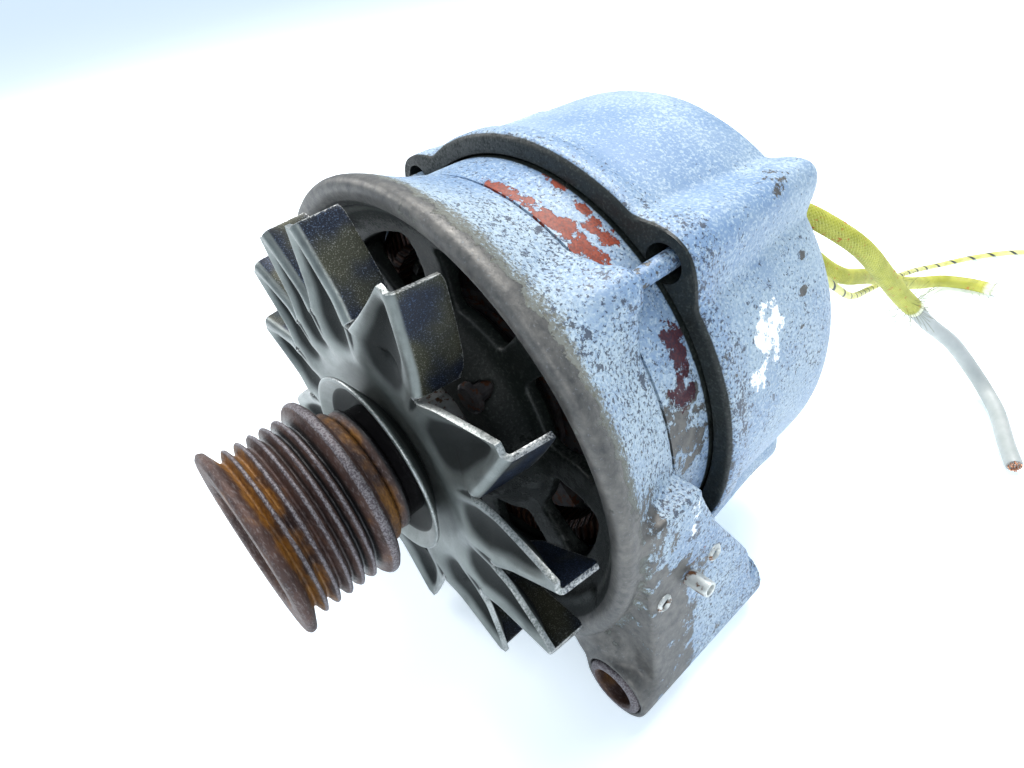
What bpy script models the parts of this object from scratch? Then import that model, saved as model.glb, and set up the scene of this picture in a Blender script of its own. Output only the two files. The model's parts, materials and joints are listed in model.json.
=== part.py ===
"""Car alternator with a six-groove belt pulley, an outside fan, a claw-pole rotor and a long rear housing.

Every length below is in millimetres and is turned into metres where a mesh is made.
The model is drawn around the shaft: Y runs along the shaft, from the front face of the
pulley (y = 0) to the back; X and Z are across it, and angles turn from +X towards +Z.
The empty "alternator" then moves the shaft to its place above the surface it lies on.
"""
import math

import bmesh
import bpy
from mathutils import Matrix, Vector

MM = 0.001
GAP = 0.3                    # clearance between pieces that touch

# Where the shaft axis and the pulley's front face lie in the finished model
AXIS_X = 6.4
AXIS_Y = -92.5
AXIS_Z = 74.2

# Shaft and its bearings
SHAFT_R = 8.5
REAR_SHAFT_R = 7.5
SHAFT_END = 156.0
FRONT_BEARING_R = 23.5       # 6303: 17 x 47 x 14
FRONT_BEARING_Y = 65.8
FRONT_BEARING_W = 14.0
REAR_BEARING_R = 17.5        # 6202: 15 x 35 x 11
REAR_BEARING_Y = 146.6
REAR_BEARING_W = 11.0

# Poly-V pulley
RIB_PITCH = 3.56             # PK belt section
GROOVES = 6
RIB_R = 24.4
GROOVE_R = 21.9
FLANGE_R = 26.8
FIRST_GROOVE_Y = 4.8
PULLEY_HUB_R = 20.2
PULLEY_BACK = 32.6
RECESS_R = 17.0
RECESS_FLOOR = 12.2

# Fan
FAN_SHEET = 1.5
FAN_Y = 42.0                 # front face of the blades
FAN_CENTRE_Y = 44.6          # front face of the flat centre
FAN_BORE_R = 9.8
FAN_TIP_R = 68.3
FAN_ROOT_R = 45.0
VANE_DEPTH = 12.0
BLADE_ANGLES = (-93, -57, -26, 3, 33, 67, 100, 120, 140, 164, 193, 227)
WINDOW_SPLIT = 0.56          # where a window's root lies between two blade tips
WINDOW_HALF = 1.3            # half the angle of a window's root, degrees

# Castings and stator
RIM_R = 74.2
RIM_Y = 58.6
BRACKET_BACK = 86.2
BRACKET_BACK_R = 65.5
STATOR_R = 65.0
STATOR_BORE_R = 46.0
STATOR_FRONT = 86.5
STATOR_BACK = 112.0
SLOTS = 36
SLOT_FLOOR_R = 57.0
HOUSING_FRONT = 101.6
HOUSING_FLANGE_R = 71.1
HOUSING_BORE_R = 65.5
HOUSING_BACK = 165.0
GLAND_FACE = 169.0
RIDGE_END = 162.4
WALL_IN = 161.0              # inner face of the housing's end wall

# Through bolts
BOLT_CIRCLE_R = 69.5
BOLT_ANGLES = (45, 135, 225, 315)
BOLT_R = 2.6
BOLT_TIP_Y = 71.0
BOLT_SEAT_Y = 158.6          # bearing face of the head, sunk in the ridge's end
BOLT_HEAD_R = 4.2
BOLT_HEAD_H = 3.5
BOLT_HOLE_STEPS = (          # radius, sides, front, back: channel past the stator, hole, head's seat
    (5.2, 14, 99.6, 112.3),
    (2.9, 12, 110.0, 159.5),
    (4.5, 14, 158.3, 170.0),
)
RETAINER_ANGLES = (45, 165, 285)
RETAINER_CIRCLE_R = 27.3
BOSS_R = 6.3
BOSS_END = 88.6

# Pivot lug and tension ear
LUG_ANGLE = -43.6
LUG_R = 91.4
LUG_BOSS_R = 11.0
LUG_BORE_R = 9.2
BUSH_BORE_R = 6.0
LUG_FRONT = 58.6
LUG_BACK = 117.0
PAD_ANGLE = 2.8              # direction the rating pad faces
PAD_OFFSET = 74.0            # distance of the pad's plane from the shaft
PAD_Z = -23.5
PAD_HOLES_Y = (69.5, 90.5)
STUB_Y = 80.0
EAR_ANGLE = 190.0
EAR_R = 86.0
EAR_BOSS_R = 10.0
EAR_HOLE_R = 4.0
EAR_FRONT = 70.0
EAR_BACK = 86.0

# Rotor
POLE_R = 45.4
POLE_FRONT = 83.6
POLE_BACK = 115.6
POLE_DISC = 7.0
CLAWS = 6
SLIP_RING_R = 13.5
SLIP_RINGS_Y = (128.5, 136.5)
SLIP_RING_W = 5.0

# Brush gear
BRUSH_X = 5.0
BRUSH_Y = 4.4
BRUSH_TOP = 30.0
SPRING_TOP = 42.0
SPRING_R = 1.8

# Rear wall of the housing
VENT_ANGLES = tuple(range(156, 349, 24))
GLAND_R = 49.0
GLAND_ANGLES = (15.0, 49.0)
GLAND_WIDTH = 9.0
TERMINAL_R = 48.0
TERMINAL_ANGLE = 130.0
TERMINAL_HOLE_R = 5.3

# Rectifier
SINK_PLUS_Y = (147.0, 149.5)
SINK_MINUS_Y = (155.0, 157.5)
DIODE_R = 6.2
DIODE_CIRCLE_R = 48.0
DIODES = (("plus", 150), ("plus", 205), ("plus", 260), ("minus", 178), ("minus", 232), ("minus", 290))

# Free leads
SLEEVE_D = 6.8
CABLE_D = 5.8
SIGNAL_SLEEVE_D = 6.0
LEAD_D = 2.6

# Routes in the shaft's frame: out of the gland, down to the surface and along it
LEADS = {
    "charge_sleeve": (((37.0, 171.4, 32.1), (39.0, 176.5, 31.5), (46.5, 183.5, 26.0),
                       (55.5, 195.0, 14.5), (59.5, 211.0, -2.5), (61.8, 223.0, -15.0),
                       (64.0, 234.0, -25.5)), SLEEVE_D, "green_braid"),
    "charge_cable": (((64.3, 235.2, -26.7), (67.8, 244.0, -36.5), (75.0, 254.0, -48.0),
                      (82.5, 261.0, -61.0), (90.0, 261.0, -69.0), (98.0, 252.5, -71.1),
                      (107.0, 236.0, -71.1), (113.0, 226.0, -71.1)), CABLE_D, "white_cable"),
    "signal_sleeve": (((42.4, 171.0, 24.5), (42.6, 177.5, 22.0), (44.0, 189.0, 9.5),
                       (46.0, 208.0, -5.0), (44.0, 240.0, -21.0), (41.5, 270.0, -38.5),
                       (38.5, 300.0, -54.5), (38.0, 324.0, -66.0), (43.0, 339.0, -70.6),
                       (54.0, 343.5, -70.9), (64.0, 344.0, -70.9)), SIGNAL_SLEEVE_D, "green_braid"),
    "sense_lead": (((45.6, 170.2, 18.0), (49.0, 177.0, 13.0), (52.0, 190.0, 1.0),
                    (50.0, 210.0, -13.0), (41.2, 248.5, -32.0), (32.5, 293.0, -51.5),
                    (30.5, 330.0, -64.5), (34.0, 355.0, -71.6), (45.0, 376.0, -72.7),
                    (58.0, 391.0, -72.7), (72.0, 399.0, -72.7)), LEAD_D, "yellow_lead"),
}

MATERIALS = {
    "rusty_steel": ((0.20, 0.10, 0.06), 0.75, 0.6),
    "fan_steel": ((0.22, 0.25, 0.24), 0.42, 0.8),
    "bright_steel": ((0.55, 0.56, 0.57), 0.35, 1.0),
    "zinc_steel": ((0.62, 0.63, 0.62), 0.40, 0.9),
    "painted_casting": ((0.60, 0.72, 0.85), 0.50, 0.3),
    "painted_lamination": ((0.62, 0.72, 0.84), 0.60, 0.2),
    "pole_iron": ((0.10, 0.10, 0.11), 0.60, 0.8),
    "copper_wire": ((0.50, 0.20, 0.09), 0.40, 0.7),
    "copper": ((0.80, 0.42, 0.27), 0.25, 1.0),
    "aluminium_plate": ((0.72, 0.73, 0.74), 0.45, 1.0),
    "black_plastic": ((0.03, 0.03, 0.03), 0.50, 0.0),
    "carbon": ((0.06, 0.06, 0.06), 0.60, 0.1),
    "green_braid": ((0.62, 0.68, 0.10), 0.80, 0.0),
    "yellow_lead": ((0.85, 0.80, 0.25), 0.60, 0.0),
    "white_cable": ((0.88, 0.90, 0.92), 0.50, 0.0),
    "rubber": ((0.04, 0.04, 0.04), 0.80, 0.0),
}


def clear_scene():
    for obj in list(bpy.data.objects):
        bpy.data.objects.remove(obj, do_unlink=True)


def material(name):
    found = bpy.data.materials.get(name)
    if found:
        return found
    colour, roughness, metallic = MATERIALS[name]
    mat = bpy.data.materials.new(name)
    mat.use_nodes = True
    shader = mat.node_tree.nodes["Principled BSDF"]
    shader.inputs["Base Color"].default_value = (*colour, 1.0)
    shader.inputs["Roughness"].default_value = roughness
    shader.inputs["Metallic"].default_value = metallic
    return mat


def empty(name, parent=None, location=(0.0, 0.0, 0.0)):
    obj = bpy.data.objects.new(name, None)
    bpy.context.scene.collection.objects.link(obj)
    obj.location = Vector(location) * MM
    obj.parent = parent
    return obj


def finish_mesh(bm, name, sharp_angle=35.0):
    """Turn a bmesh drawn in millimetres into a shaded mesh in metres."""
    bmesh.ops.recalc_face_normals(bm, faces=bm.faces[:])
    bm.transform(Matrix.Scale(MM, 4))
    mesh = bpy.data.meshes.new(name)
    bm.to_mesh(mesh)
    bm.free()
    mesh.shade_smooth()
    mesh.set_sharp_from_angle(angle=math.radians(sharp_angle))
    return mesh


def add_part(name, bm, mat, parent, location=(0.0, 0.0, 0.0)):
    mesh = finish_mesh(bm, name)
    mesh.materials.append(material(mat))
    obj = bpy.data.objects.new(name, mesh)
    bpy.context.scene.collection.objects.link(obj)
    obj.parent = parent
    obj.location = Vector(location) * MM
    return obj


def boolean(obj, operation, bm):
    """Join or cut a shape with an EXACT Boolean; the tool shape stays hidden."""
    label = f"{obj.name}_{operation.lower()}_{len(obj.modifiers)}"
    tool = bpy.data.objects.new(label, finish_mesh(bm, label))
    bpy.context.scene.collection.objects.link(tool)
    tool.parent = obj.parent
    tool.hide_render = True
    tool.display_type = "WIRE"
    modifier = obj.modifiers.new(label, "BOOLEAN")
    modifier.operation = operation
    modifier.solver = "EXACT"
    modifier.object = tool


def polar(radius, angle):
    """Point in the X-Z plane at an angle in degrees."""
    return (radius * math.cos(math.radians(angle)), radius * math.sin(math.radians(angle)))


def arc(radius, start, end, count, centre=(0.0, 0.0)):
    """Points along an arc, both ends included."""
    points = []
    for i in range(count):
        x, z = polar(radius, start + (end - start) * i / (count - 1))
        points.append((centre[0] + x, centre[1] + z))
    return points


def circle(radius, count, centre=(0.0, 0.0)):
    return arc(radius, 0.0, 360.0, count + 1, centre)[:-1]


def lathe(profile, steps=36):
    """Spin a closed outline of (y, r) points about the shaft axis; a run on the axis closes itself."""
    bm = bmesh.new()
    loops = []
    for y, radius in profile:
        if radius > 0.0:
            loops.append([bm.verts.new((x, y, z)) for x, z in circle(radius, steps)])
        else:
            loops.append([bm.verts.new((0.0, y, 0.0))])
    for a, b in zip(loops, loops[1:] + loops[:1]):
        if len(a) == 1 and len(b) == 1:
            continue
        for i in range(steps):
            j = (i + 1) % steps
            corners = [a[i % len(a)], a[j % len(a)], b[j % len(b)], b[i % len(b)]]
            bm.faces.new(list(dict.fromkeys(corners)))
    return bm


def tube(inner, outer, y0, y1, chamfer=0.0, steps=24):
    """Plain ring with chamfered outer corners."""
    profile = [(y0, inner), (y0, outer - chamfer), (y1, outer - chamfer), (y1, inner)]
    if chamfer:
        profile[2:2] = [(y0 + chamfer, outer), (y1 - chamfer, outer)]
    return lathe(profile, steps)


def prism(outline, y0, y1):
    """Extrude an outline of (x, z) points along the shaft."""
    bm = bmesh.new()
    face = bm.faces.new([bm.verts.new((x, y0, z)) for x, z in outline])
    moved = bmesh.ops.extrude_face_region(bm, geom=[face])["geom"]
    verts = [v for v in moved if isinstance(v, bmesh.types.BMVert)]
    bmesh.ops.translate(bm, verts=verts, vec=(0, y1 - y0, 0))
    return bm


def block(x, y, z):
    """Box between pairs of limits."""
    return prism([(x[0], z[0]), (x[1], z[0]), (x[1], z[1]), (x[0], z[1])], y[0], y[1])


def rod(centre, radius, y0, y1, steps=16):
    return prism(circle(radius, steps, centre), y0, y1)


def merged(shapes):
    """Put separate shapes into one bmesh."""
    out = bmesh.new()
    for bm in shapes:
        mesh = bpy.data.meshes.new("piece")
        bm.to_mesh(mesh)
        bm.free()
        out.from_mesh(mesh)
        bpy.data.meshes.remove(mesh)
    return out


def screw(name, centre, head_y, tip_y, head_r, head_h, mat, parent, sides=12):
    """Screw along the shaft's direction, its head at head_y and its point at tip_y."""
    way = 1.0 if tip_y > head_y else -1.0
    seat = head_y + way * head_h
    profile = [(head_y, 0.0), (head_y, head_r * 0.8), (head_y + way * head_h * 0.3, head_r),
               (seat, head_r), (seat, BOLT_R), (tip_y, BOLT_R), (tip_y, 0.0)]
    bm = lathe(profile, sides)
    add_part(name, bm, mat, parent, (centre[0], 0.0, centre[1]))


# ---------------------------------------------------------------- front of the rotor

def pulley_profile():
    """Outline of the pulley, from the bore's front round the outside to its back."""
    points = [(RECESS_FLOOR, SHAFT_R + GAP), (RECESS_FLOOR, RECESS_R), (0.0, RECESS_R + 0.6),
              (0.0, FLANGE_R - 1.2), (0.8, FLANGE_R), (2.4, FLANGE_R - 0.2)]
    for i in range(GROOVES):
        y = FIRST_GROOVE_Y + i * RIB_PITCH
        points.append((y, GROOVE_R))
        if i < GROOVES - 1:
            points.append((y + RIB_PITCH / 2, RIB_R))
    last = FIRST_GROOVE_Y + (GROOVES - 1) * RIB_PITCH
    points += [(last + 2.4, FLANGE_R - 0.6), (last + 3.6, FLANGE_R), (last + 4.8, FLANGE_R - 0.8),
               (last + 5.8, PULLEY_HUB_R + 1.0), (last + 6.6, PULLEY_HUB_R),
               (PULLEY_BACK, PULLEY_HUB_R), (PULLEY_BACK, SHAFT_R + GAP)]
    return points


def make_pulley(rotor):
    add_part("pulley", lathe(pulley_profile()), "rusty_steel", rotor)
    hexagon = prism(arc(13.6, 0, 300, 6), 1.6, 9.3)
    nut = add_part("pulley_nut", hexagon, "bright_steel", rotor)
    boolean(nut, "DIFFERENCE", rod((0, 0), SHAFT_R + GAP, 0.0, 11.0, 24))
    outline = arc(12.2, 5, 350, 24) + arc(SHAFT_R + GAP, 350, 5, 24)
    add_part("spring_washer", prism(outline, 9.6, RECESS_FLOOR - GAP), "bright_steel", rotor)
    spacer = [(PULLEY_BACK + GAP, SHAFT_R + GAP), (PULLEY_BACK + GAP, 17.6), (34.2, 18.8),
              (36.8, 18.8), (38.0, 17.2), (42.2, 17.2), (42.2, SHAFT_R + GAP)]
    add_part("pulley_spacer", lathe(spacer, 24), "bright_steel", rotor)
    cup = [(42.5, SHAFT_R + GAP), (42.5, 18.2), (40.2, 22.0), (37.6, 26.4), (37.6, 27.9),
           (39.0, 27.6), (41.6, 23.0), (44.0, 19.4), (44.0, SHAFT_R + GAP)]
    add_part("fan_cup_washer", lathe(cup), "fan_steel", rotor)


def make_fan(rotor):
    """Pressed fan: a dished centre, triangular blades, and a vane bent back along each blade."""
    bm = bmesh.new()
    count = len(BLADE_ANGLES)
    rings = {}
    blade_y = FAN_Y + FAN_SHEET / 2
    centre_y = FAN_CENTRE_Y + FAN_SHEET / 2
    for radius, y in ((FAN_BORE_R, centre_y), (25.0, centre_y), (33.0, blade_y)):
        rings[radius] = []
        for k in range(count):
            start = BLADE_ANGLES[k]
            gap = (BLADE_ANGLES[(k + 1) % count] - start) % 360
            split = start + WINDOW_SPLIT * gap
            for angle in (split - WINDOW_HALF, split + WINDOW_HALF):
                x, z = polar(radius, angle)
                rings[radius].append(bm.verts.new((x, y, z)))
    levels = list(rings.values())
    total = 2 * count
    for inner, outer in zip(levels, levels[1:]):
        for i in range(total):
            j = (i + 1) % total
            bm.faces.new((inner[i], inner[j], outer[j], outer[i]))
    base = levels[-1]
    for k in range(count):
        start = BLADE_ANGLES[k]
        previous = BLADE_ANGLES[k - 1]
        low = previous + WINDOW_SPLIT * ((start - previous) % 360) + WINDOW_HALF
        gap = (BLADE_ANGLES[(k + 1) % count] - start) % 360
        high = start + WINDOW_SPLIT * gap - WINDOW_HALF
        corners = {}
        for label, radius, angle, y in (("root", FAN_ROOT_R, low, blade_y),
                                        ("root_back", FAN_ROOT_R, low, blade_y + VANE_DEPTH),
                                        ("free", FAN_ROOT_R, high, blade_y),
                                        ("tip_free", FAN_TIP_R, start + 1.8, blade_y),
                                        ("tip", FAN_TIP_R - 0.5, start, blade_y),
                                        ("tip_back", FAN_TIP_R - 0.5, start, blade_y + VANE_DEPTH)):
            x, z = polar(radius, angle)
            corners[label] = bm.verts.new((x, y, z))
        first = base[(2 * k - 1) % total]
        last = base[2 * k]
        bm.faces.new((first, last, corners["free"], corners["root"]))
        bm.faces.new((corners["root"], corners["free"], corners["tip_free"], corners["tip"]))
        bm.faces.new((corners["root"], corners["tip"], corners["tip_back"], corners["root_back"]))
    fan = add_part("fan", bm, "fan_steel", rotor)
    sheet = fan.modifiers.new("sheet", "SOLIDIFY")
    sheet.thickness = FAN_SHEET * MM
    sheet.offset = 0.0
    sheet.use_even_offset = True


def ball_ring(pitch_r, ball_r, balls, centre_y, steps_per_ball=4, around=6):
    """Balls of a bearing held in their cage: a ring that swells at each ball."""
    bm = bmesh.new()
    loops = []
    count = balls * steps_per_ball
    for i in range(count):
        angle = 360.0 * i / count
        swell = math.cos(math.radians(angle * balls)) * 0.5 + 0.5
        radius = ball_r * (0.45 + 0.55 * swell)
        loop = []
        for j in range(around):
            turn = math.tau * j / around
            x, z = polar(pitch_r + radius * math.cos(turn), angle)
            loop.append(bm.verts.new((x, centre_y + radius * math.sin(turn), z)))
        loops.append(loop)
    for i in range(count):
        nxt = loops[(i + 1) % count]
        for j in range(around):
            k = (j + 1) % around
            bm.faces.new((loops[i][j], loops[i][k], nxt[k], nxt[j]))
    return bm


def make_bearing(label, bore, outer, y0, width, balls, bodies):
    """Ball bearing as outer race, inner race and a caged ring of balls."""
    rotor, frame, cage = bodies
    y1 = y0 + width
    mid = y0 + width / 2
    depth = outer - bore
    pitch = (outer + bore) / 2
    ball = depth * 0.26
    race = depth * 0.30
    inner = [(y0, bore), (y0, bore + race), (mid - 2.0, bore + race), (mid, pitch - ball - GAP),
             (mid + 2.0, bore + race), (y1, bore + race), (y1, bore)]
    add_part(f"{label}_inner_race", lathe(inner, 24), "bright_steel", rotor)
    ring = [(y0, outer - race), (y0, outer), (y1, outer), (y1, outer - race),
            (mid + 2.0, outer - race), (mid, pitch + ball + GAP), (mid - 2.0, outer - race)]
    add_part(f"{label}_outer_race", lathe(ring, 24), "bright_steel", frame)
    add_part(f"{label}_balls", ball_ring(pitch, ball, balls, mid), "bright_steel", cage)


def make_shaft(rotor):
    profile = [(1.9, 0.0), (1.9, SHAFT_R - 1.0), (2.9, SHAFT_R), (81.0, SHAFT_R), (81.0, 10.5),
               (118.5, 10.5), (118.5, REAR_SHAFT_R), (SHAFT_END, REAR_SHAFT_R), (SHAFT_END, 0.0)]
    add_part("shaft", lathe(profile, 24), "bright_steel", rotor)
    collar = tube(SHAFT_R + GAP, 11.8, FAN_CENTRE_Y + FAN_SHEET + GAP, FRONT_BEARING_Y - GAP, 0.5)
    add_part("fan_collar", collar, "zinc_steel", rotor)


# ---------------------------------------------------------------- rotor inside the stator

def claw(angle, root_y, tip_y):
    """One claw: wide and thick at its root, narrow and thin at its tip."""
    rows = ((root_y, 27.0, POLE_R, 11.5), (root_y + (tip_y - root_y) * 0.28, 37.6, POLE_R, 10.5),
            (tip_y, 41.6, POLE_R - 0.4, 5.0))
    bm = bmesh.new()
    loops = []
    for y, inner, outer, half in rows:
        loop = []
        for radius, side in ((inner, -1), (outer, -1), (outer, 0), (outer, 1), (inner, 1)):
            x, z = polar(radius, angle + side * half)
            loop.append(bm.verts.new((x, y, z)))
        loops.append(loop)
    bm.faces.new(loops[0])
    bm.faces.new(loops[-1])
    for a, b in zip(loops, loops[1:]):
        for i in range(5):
            j = (i + 1) % 5
            bm.faces.new((a[i], a[j], b[j], b[i]))
    bmesh.ops.recalc_face_normals(bm, faces=bm.faces[:])
    return bm


def make_pole(name, disc, root_y, tip_y, offset, rotor):
    hub = [(disc[0], 10.8), (disc[0], 33.0), (disc[1], 33.0), (disc[1], 10.8)]
    pole = add_part(name, lathe(hub, 36), "pole_iron", rotor)
    claws = [claw(offset + 360.0 * i / CLAWS, root_y, tip_y) for i in range(CLAWS)]
    boolean(pole, "UNION", merged(claws))


def make_field(rotor):
    coil_y0 = POLE_FRONT + POLE_DISC + GAP
    coil_y1 = POLE_BACK - POLE_DISC - GAP
    bobbin = [(coil_y0, 11.0), (coil_y0, 35.8), (coil_y0 + 1.2, 35.8), (coil_y0 + 1.2, 13.0),
              (coil_y1 - 1.2, 13.0), (coil_y1 - 1.2, 35.8), (coil_y1, 35.8), (coil_y1, 11.0)]
    add_part("field_bobbin", lathe(bobbin, 28), "black_plastic", rotor)
    winding = tube(13.3, 35.0, coil_y0 + 1.5, coil_y1 - 1.5)
    add_part("field_winding", winding, "copper_wire", rotor)


def make_rotor_core(rotor):
    make_pole("front_claw_pole", (POLE_FRONT, POLE_FRONT + POLE_DISC), POLE_FRONT, 109.5, 0.0, rotor)
    make_pole("rear_claw_pole", (POLE_BACK - POLE_DISC, POLE_BACK), POLE_BACK, 89.7, 30.0, rotor)
    make_field(rotor)
    hub = tube(REAR_SHAFT_R + GAP, 10.6, 119.0, 144.5)
    add_part("slip_ring_hub", hub, "black_plastic", rotor)
    for label, y in zip(("front", "rear"), SLIP_RINGS_Y):
        ring = tube(10.9, SLIP_RING_R, y - SLIP_RING_W / 2, y + SLIP_RING_W / 2)
        add_part(f"slip_ring_{label}", ring, "copper", rotor)


# ---------------------------------------------------------------- front bracket

def bracket_profile():
    """Section of the bell-mouthed bracket with its bearing hub."""
    seat_r = FRONT_BEARING_R + GAP
    outside = [(57.4, 71.4), (57.9, 73.2), (RIM_Y + 1.2, RIM_R), (64.0, 73.4), (70.0, 70.4),
               (77.0, 67.4), (83.0, 65.8), (BRACKET_BACK, BRACKET_BACK_R)]
    back = [(BRACKET_BACK, 62.0), (80.0, 61.0), (76.0, 57.0), (74.6, 50.0), (74.6, 34.5),
            (80.0, 30.5), (80.0, seat_r), (FRONT_BEARING_Y - GAP, seat_r),
            (FRONT_BEARING_Y - GAP, 12.6)]
    front = [(62.4, 12.6), (62.4, 27.0), (66.0, 30.0), (70.0, 34.0), (70.6, 38.0), (69.6, 50.0),
             (66.6, 60.0), (62.0, 66.0), (58.6, 68.6)]
    return outside + back + front


def lug_outline():
    """Wedge between the bracket's wall and the lug's boss, seen along the shaft."""
    centre = polar(LUG_R, LUG_ANGLE)
    wall = arc(63.4, -70, 4, 10)
    pad = [polar(PAD_OFFSET, PAD_ANGLE)]
    boss = arc(LUG_BOSS_R, PAD_ANGLE, PAD_ANGLE - 86.0, 5, centre)
    return wall + pad + boss + [polar(71.0, -68.0)]


def rear_web():
    """Web that carries the lug past the bracket's rear edge, its outer face in the pad's plane."""
    nx, nz = polar(1.0, PAD_ANGLE)
    side = ((82.0, 3.0), (BRACKET_BACK, 1.0), (92.0, -13.0), (108.0, -39.0), (112.0, -62.0),
            (82.0, -62.0))
    bm = bmesh.new()
    inner = [bm.verts.new((69.6, y, z)) for y, z in side]
    outer = [bm.verts.new(((PAD_OFFSET - nz * z) / nx, y, z)) for y, z in side]
    bm.faces.new(inner)
    bm.faces.new(outer)
    for i in range(len(side)):
        bm.faces.new((inner[i - 1], inner[i], outer[i], outer[i - 1]))
    bmesh.ops.recalc_face_normals(bm, faces=bm.faces[:])
    return bm


def vent_window(angle, width, inner, outer, y0, y1):
    half = width / 2
    inner_half = half * 0.86
    outline = arc(outer, angle - half, angle + half, 5)
    outline += arc(inner, angle + inner_half, angle - inner_half, 3)
    return prism(outline, y0, y1)


def make_front_bracket(frame):
    bracket = add_part("front_bracket", lathe(bracket_profile()), "painted_casting", frame)
    lug = polar(LUG_R, LUG_ANGLE)
    ear = polar(EAR_R, EAR_ANGLE)
    boolean(bracket, "UNION", merged([rod(polar(BOLT_CIRCLE_R, a), BOSS_R, 65.5, BOSS_END, 14)
                                      for a in BOLT_ANGLES]))
    boolean(bracket, "UNION", prism(lug_outline(), 65.2, BRACKET_BACK - 0.1))
    boolean(bracket, "UNION", rod(lug, LUG_BOSS_R, LUG_FRONT, LUG_BACK, 28))
    boolean(bracket, "UNION", rear_web())
    boolean(bracket, "DIFFERENCE", rod((0, 0), STATOR_R + GAP, BRACKET_BACK + 0.1, LUG_BACK, 36))
    root = [polar(63.6, EAR_ANGLE + 15), polar(63.6, EAR_ANGLE), polar(63.6, EAR_ANGLE - 15)]
    boss = arc(EAR_BOSS_R, EAR_ANGLE - 78, EAR_ANGLE + 78, 9, ear)
    boolean(bracket, "UNION", prism(root + boss, EAR_FRONT, EAR_BACK - 0.2))
    windows = [vent_window(22.5 + 45.0 * i, 33.0, 37.4, 56.2, 55.0, 79.6) for i in range(8)]
    boolean(bracket, "DIFFERENCE", merged(windows))
    holes = [rod(lug, LUG_BORE_R, LUG_FRONT - 2, LUG_BACK + 2, 24),
             rod(ear, EAR_HOLE_R, EAR_FRONT - 2, EAR_BACK + 2, 16)]
    holes += [rod(polar(BOLT_CIRCLE_R, a), BOLT_R + GAP, 70.0, BOSS_END + 2, 12) for a in BOLT_ANGLES]
    holes += [rod(polar(RETAINER_CIRCLE_R, a), BOLT_R + GAP, 60.0, 82.0, 12) for a in RETAINER_ANGLES]
    boolean(bracket, "DIFFERENCE", merged(holes))
    boolean(bracket, "DIFFERENCE", merged([pad_hole(y, 1.4, 5.0) for y in PAD_HOLES_Y]
                                          + [pad_hole(STUB_Y, 2.3 + GAP, 4.0)]))


def pad_rod(y, radius, low, high, steps=12):
    """Rod square to the rating pad, between two distances from the pad's face."""
    bm = rod((0, 0), radius, low, high, steps)
    turn = Matrix.Rotation(math.radians(-90.0), 4, "Z")
    tilt = Matrix.Rotation(math.radians(-PAD_ANGLE), 4, "Y")
    nx, nz = polar(1.0, PAD_ANGLE)
    foot = Vector(((PAD_OFFSET - nz * PAD_Z) / nx, y, PAD_Z))
    bm.transform(Matrix.Translation(foot) @ tilt @ turn)
    return bm


def pad_hole(y, radius, depth):
    return pad_rod(y, radius, -depth, 3.0)


def make_bracket_fittings(frame):
    lug = polar(LUG_R, LUG_ANGLE)
    bush = tube(BUSH_BORE_R, LUG_BORE_R - GAP, LUG_FRONT - 0.4, LUG_BACK + 0.4, 0.4)
    add_part("pivot_bush", bush, "zinc_steel", frame, (lug[0], 0.0, lug[1]))
    stub = add_part("pad_stub", pad_rod(STUB_Y, 2.3, -3.6, 6.4, 14), "zinc_steel", frame)
    boolean(stub, "DIFFERENCE", pad_rod(STUB_Y, 1.3, 2.6, 8.0, 12))
    retainer = tube(13.2, 31.0, 80.3, 82.0)
    plate = add_part("bearing_retainer", retainer, "zinc_steel", frame)
    holes = [rod(polar(RETAINER_CIRCLE_R, a), BOLT_R + GAP, 79.0, 84.0, 12) for a in RETAINER_ANGLES]
    boolean(plate, "DIFFERENCE", merged(holes))
    for i, angle in enumerate(RETAINER_ANGLES, 1):
        name = f"retainer_screw_{i}"
        centre = polar(RETAINER_CIRCLE_R, angle)
        screw(name, centre, 59.9, 82.3, 4.6, 2.2, "zinc_steel", frame)


# ---------------------------------------------------------------- stator

def make_stator(frame):
    inner = []
    for i in range(SLOTS):
        middle = 360.0 * i / SLOTS
        half = 1.85
        mouth = 2.3
        inner += [polar(STATOR_BORE_R, middle - mouth), polar(SLOT_FLOOR_R, middle - half),
                  polar(SLOT_FLOOR_R, middle + half), polar(STATOR_BORE_R, middle + mouth)]
    add_part("stator_core", slotted_ring(inner), "painted_lamination", frame)
    winding = add_part("stator_winding", end_turns(STATOR_FRONT - GAP, 78.2), "copper_wire", frame)
    bars = []
    for i in range(SLOTS):
        middle = 360.0 * i / SLOTS
        outline = [polar(49.0, middle - 1.5), polar(56.5, middle - 1.3), polar(56.5, middle + 1.3),
                   polar(49.0, middle + 1.5)]
        bars.append(prism(outline, STATOR_FRONT - 2.0, STATOR_BACK + 2.0))
    boolean(winding, "UNION", merged(bars))
    boolean(winding, "UNION", end_turns(STATOR_BACK + GAP, 121.0))


def slotted_ring(inner):
    """Ring between a slotted bore and the round outside of the laminations."""
    bm = bmesh.new()
    count = len(inner)
    outer = circle(STATOR_R, count)
    loops = []
    for y in (STATOR_FRONT, STATOR_BACK):
        loops.append(([bm.verts.new((x, y, z)) for x, z in inner],
                      [bm.verts.new((x, y, z)) for x, z in outer]))
    (front_in, front_out), (back_in, back_out) = loops
    for i in range(count):
        j = (i + 1) % count
        a = (i - 1) % count
        b = i
        bm.faces.new((front_in[i], front_in[j], front_out[b], front_out[a]))
        bm.faces.new((back_in[i], back_out[a], back_out[b], back_in[j]))
        bm.faces.new((front_in[i], back_in[i], back_in[j], front_in[j]))
        bm.faces.new((front_out[a], front_out[b], back_out[b], back_out[a]))
    return bm


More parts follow.
